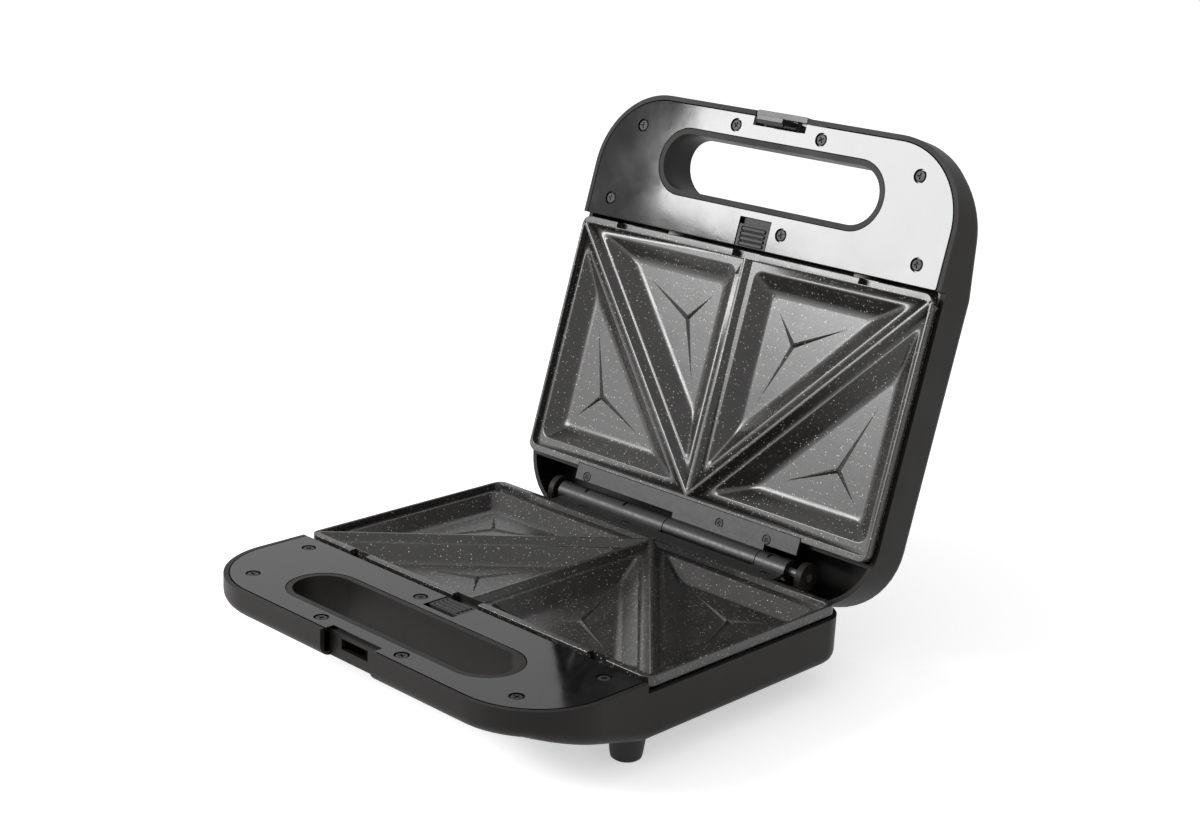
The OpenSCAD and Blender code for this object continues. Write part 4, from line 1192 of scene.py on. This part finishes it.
@dataclass
class ReleaseSpring:
    """The wire spring behind a release button, which shortens as the button is pressed; here it keeps one length."""

    half: Half
    near_v: float = 148.1
    fixed_v: float = 163.65
    axis_w: float = -9.7
    coil_radius: float = 2.4
    wire_radius: float = 0.35
    end_gap: float = 0.4
    turns: int = 6
    travel: float = 3.2

    def build(self) -> None:
        """Winds the wire, closes its ends and dresses it."""
        Workpiece.clear_selection()
        bpy.ops.mesh.primitive_circle_add(vertices=8, radius=self.wire_radius * MM,
                                          location=(self.coil_radius * MM, 0, 0))
        spring = Workpiece._added(f"{self.half.value}_release_coil")
        room = self.fixed_v - self.near_v
        pitch = (room - 2 * self.end_gap) / self.turns
        spring.modify("SCREW", axis="Y", screw_offset=-pitch * MM, iterations=self.turns, steps=16, render_steps=16)
        with spring.editing("VERT", lambda corners: True):
            bpy.ops.mesh.fill_holes(sides=0)
            bpy.ops.mesh.normals_make_consistent(inside=False)
        spring.obj.matrix_world = Matrix.Translation(spot(0, self.near_v + self.end_gap, self.axis_w))
        spring.soften(0)
        spring.settle(self.half, self.half.value, FINISHES["spring_steel"], "spring_steel",
                      f"{self.half.value}_release_spring")
        fixed, near_end = (self.half.place() @ spot(0, v, self.axis_w) for v in (self.fixed_v, self.near_v))
        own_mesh(spring.obj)


@dataclass
class LatchLever:
    """The lever on the lid's front edge that hooks under the base."""

    hook_half: float = 8.1
    hook_v: float = 207.7
    pivot_v: float = 207.8
    pivot_w: float = -4.5
    nose_w: float = 6.6
    tip_w: float = 8.9
    tab_half: float = 15.9

    def build(self) -> None:
        """Models the lever and dresses it."""
        half = self.hook_half + 0.7
        hook = Workpiece.block("latch_lever_arm", (-self.hook_half, self.hook_half), (self.hook_v, self.hook_v + 2.4),
                               (self.pivot_w, self.tip_w))
        nose = Workpiece.block("nose", (-self.hook_half, self.hook_half), (self.hook_v - 1.6, self.hook_v + 0.5),
                               (self.nose_w, self.tip_w))
        nose.move(lambda c: near(c[0].y, self.hook_v - 1.6) and c[0].z > self.nose_w + 1, w=-1.5)
        hook.combine("UNION", nose)
        barrel = Workpiece.rod("barrel", 2.5, (-half, self.pivot_v, self.pivot_w), (half, self.pivot_v, self.pivot_w))
        web = Workpiece.block("web", (-half, half), (self.pivot_v, 212), (self.pivot_w - 2, self.pivot_w + 2))
        tab = Workpiece.block("tab", (-self.tab_half, self.tab_half), (210.6, 213.6), (-11.1, -0.3))
        tab.round_edges(1.2, 3, lambda c: near(c[0].x, c[1].x) and all(near(p.y, 213.6) for p in c))
        hook.join(barrel, web, tab).soften(0.4, 3)
        hook.settle(Half.LID, "latch", FINISHES["latch_grey"], "latch_grey", "latch_lever")


@dataclass
class Foot:
    """A soft foot that narrows downwards, with a lip at its top and a screw well in its sole."""

    node: str
    sides: int = 40

    def build(self) -> None:
        """Models the foot at its node's place and dresses it."""
        low, high = (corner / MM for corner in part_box(self.node))
        u, v = (low.x + high.x) / 2, HINGE.y / MM - (low.y + high.y) / 2
        top = high.z - COVER_Z / MM
        radius = (high.x - low.x) / 2
        foot = Workpiece.rod(f"{self.node}_pad", radius, (u, v, top - 1), (u, v, top), self.sides)
        level, size = top - 1, radius
        for drop, next_size in ((0, 0.94), (9.6, 0.80), (1.7, 0.755), (0.7, 0.66), (0, 0.4), (-9.5, 0.4)):
            factor = next_size * radius / size
            with foot.editing("FACE", lambda c: len(c) > 4 and all(near(p.z, level, 0.02) for p in c)):
                bpy.ops.mesh.extrude_region_move(TRANSFORM_OT_translate={"value": spot(0, 0, -drop)})
                bpy.ops.transform.resize(value=(factor, factor, 1), center_override=spot(u, v, level - drop))
            level, size = level - drop, next_size * radius
        foot.soften(0)
        foot.settle(Half.BASE, "base", FINISHES["foot_rubber"], "foot_rubber", self.node)


# ---- studio ----


@dataclass
class Studio:
    """A white sweep, one soft box and the camera."""

    lens: float = 59.28
    camera_from_hinge: Spot = (0.6047, -0.7122, 0.3355)
    right: Spot = (0.7220, 0.6901, 0.0495)
    back: Spot = (0.6525, -0.7029, 0.2832)
    box_from: Spot = (-0.6101, -0.7463, 0.2660)
    box_distance: float = 1.6
    box_size: tuple[float, float] = (0.64, 0.40)
    box_shift: tuple[float, float] = (0.195, 0.115)
    box_radiance: float = 24.0
    card_from: Spot = (-0.63, -0.77, 0.0)
    card_height: float = 0.23
    card_size: tuple[float, float] = (0.7, 0.44)
    card_radiance: float = 2.6

    def floor(self) -> None:
        """A pale floor that keeps the toaster's shadow and meets the white background."""
        Workpiece.clear_selection()
        bpy.ops.mesh.primitive_plane_add(size=FLOOR_SIDE)
        floor = bpy.context.object
        floor.name = "studio_floor"
        material = bpy.data.materials.new("painted studio floor")
        material.use_nodes = True
        tree = material.node_tree
        tree.nodes.clear()
        place = add_node(tree, "ShaderNodeTexCoord").outputs["Object"]
        paint = tinted(tree, mottle(tree, place, 400, depth=2), "#f8f8f8", "#fbfbfb")
        matt = add_node(tree, "ShaderNodeBsdfDiffuse", links={"Color": paint})
        lift = add_node(tree, "ShaderNodeMath", {"operation": "MULTIPLY", 1: 0.5}, {0: shown(tree)}).outputs[0]
        glow = add_node(tree, "ShaderNodeEmission", links={"Strength": lift})
        both = add_node(tree, "ShaderNodeAddShader", links={0: matt.outputs[0], 1: glow.outputs[0]})
        add_node(tree, "ShaderNodeOutputMaterial", links={"Surface": both.outputs[0]})
        floor.data.materials.append(material)

    def world(self) -> None:
        """White all round, and a little dimmer as a lamp than as a background."""
        world = bpy.data.worlds.new("white sweep")
        bpy.context.scene.world = world
        world.use_nodes = True
        tree = world.node_tree
        background = tree.nodes["Background"]
        background.inputs["Color"].default_value = linear("#ffffff")
        tree.links.new(between(tree, shown(tree), 0.6, 1.0, 0, 1), background.inputs["Strength"])

    def panel(self, name: str, place: Vector, away: Vector, size: tuple[float, float], radiance: float) -> None:
        """Adds a rectangular lamp.

        Args:
            name: The lamp's name.
            place: Its middle.
            away: From what it lights towards it.
            size: Its width and height in metres.
            radiance: How bright its face is.
        """
        Workpiece.clear_selection()
        bpy.ops.object.light_add(type="AREA", location=place, rotation=away.to_track_quat("Z", "Y").to_euler())
        lamp = bpy.context.object
        lamp.name = name
        lamp.data.shape = "RECTANGLE"
        lamp.data.size, lamp.data.size_y = size
        lamp.data.energy = radiance * math.pi * size[0] * size[1]

    def soft_box(self) -> None:
        """The soft box that the lid's cover mirrors, and a dim card below it for the plate's floors."""
        aim = Half.LID.place() @ spot(0, SHAPE.slot_v, 0)
        away = Vector(self.box_from).normalized()
        across = Vector((0, 0, 1)).cross(away).normalized()
        place = aim + away * self.box_distance + across * self.box_shift[0] + away.cross(across) * self.box_shift[1]
        self.panel("soft_box", place, away, self.box_size, self.box_radiance)
        low = Vector(self.card_from).normalized()
        place = Vector((0, HINGE.y, self.card_height)) + low * self.box_distance
        self.panel("low_card", place, low, self.card_size, self.card_radiance)

    def camera(self) -> None:
        """The camera at its fitted place."""
        right, back = Vector(self.right).normalized(), Vector(self.back).normalized()
        up = back.cross(right).normalized()
        turn = Matrix((right, up, right.cross(up))).transposed().to_4x4()
        Workpiece.clear_selection()
        bpy.ops.object.camera_add()
        camera = bpy.context.object
        camera.name = "camera"
        camera.matrix_world = Matrix.Translation(HINGE + Vector(self.camera_from_hinge)) @ turn
        camera.data.lens = self.lens
        camera.data.sensor_width = 36
        camera.data.sensor_fit = "HORIZONTAL"
        bpy.context.scene.camera = camera

    def build(self) -> None:
        """Sets the studio up."""
        self.floor()
        self.world()
        self.soft_box()
        self.camera()
        bpy.context.scene.view_settings.view_transform = "Standard"
        log.info("studio: floor, soft box and camera")


def dress_cad_nodes() -> None:
    """Gives every CAD node that stays in view the finish of its material slot."""
    for part in frame["record"]["subparts"]:
        node = frame["nodes"][part["node"]]
        finish = FINISHES[part["material_slot"]]
        if not node.material_slots:
            node.data.materials.append(finish.material())
        for slot in node.material_slots:
            slot.material = finish.material()
        log.info("%s: %s", node.name, finish.name)


def main() -> None:
    """Builds the toaster's pieces in order, then the studio."""
    logging.basicConfig(level=logging.INFO, format="%(name)s: %(message)s")
    dress_cad_nodes()
    BaseHousing().build()
    LidHousing().build()
    for half in Half:
        HandleCover(half).build()
        CookingPlate(half).build()
        ReleaseButton(half).build()
        ReleaseSpring(half).build()
        Screws(half, f"{half.value}_cover_screw", f"{half.value}_cover_screws", COVER_SCREWS, -1.3).build()
        Screws(half, f"{half.value}_hinge_screw", f"{half.value}_hinge_screws", HINGE_SCREWS, AXIS_W / MM - 0.7,
               2.3, 0.6, 1.1, 7.4).build()
    HingeLeaf(Half.BASE, ((-78.6, -5.6), (54.6, 72.6)), (-61.0, -34.0, 61.0)).build()
    HingeLeaf(Half.LID, ((-54.1, 5.1),), ()).build()
    LatchLever().build()
    for node in ("foot_front_left", "foot_front_right", "foot_rear_left", "foot_rear_right"):
        Foot(node).build()
    Studio().build()


if __name__ == "__main__":
    main()
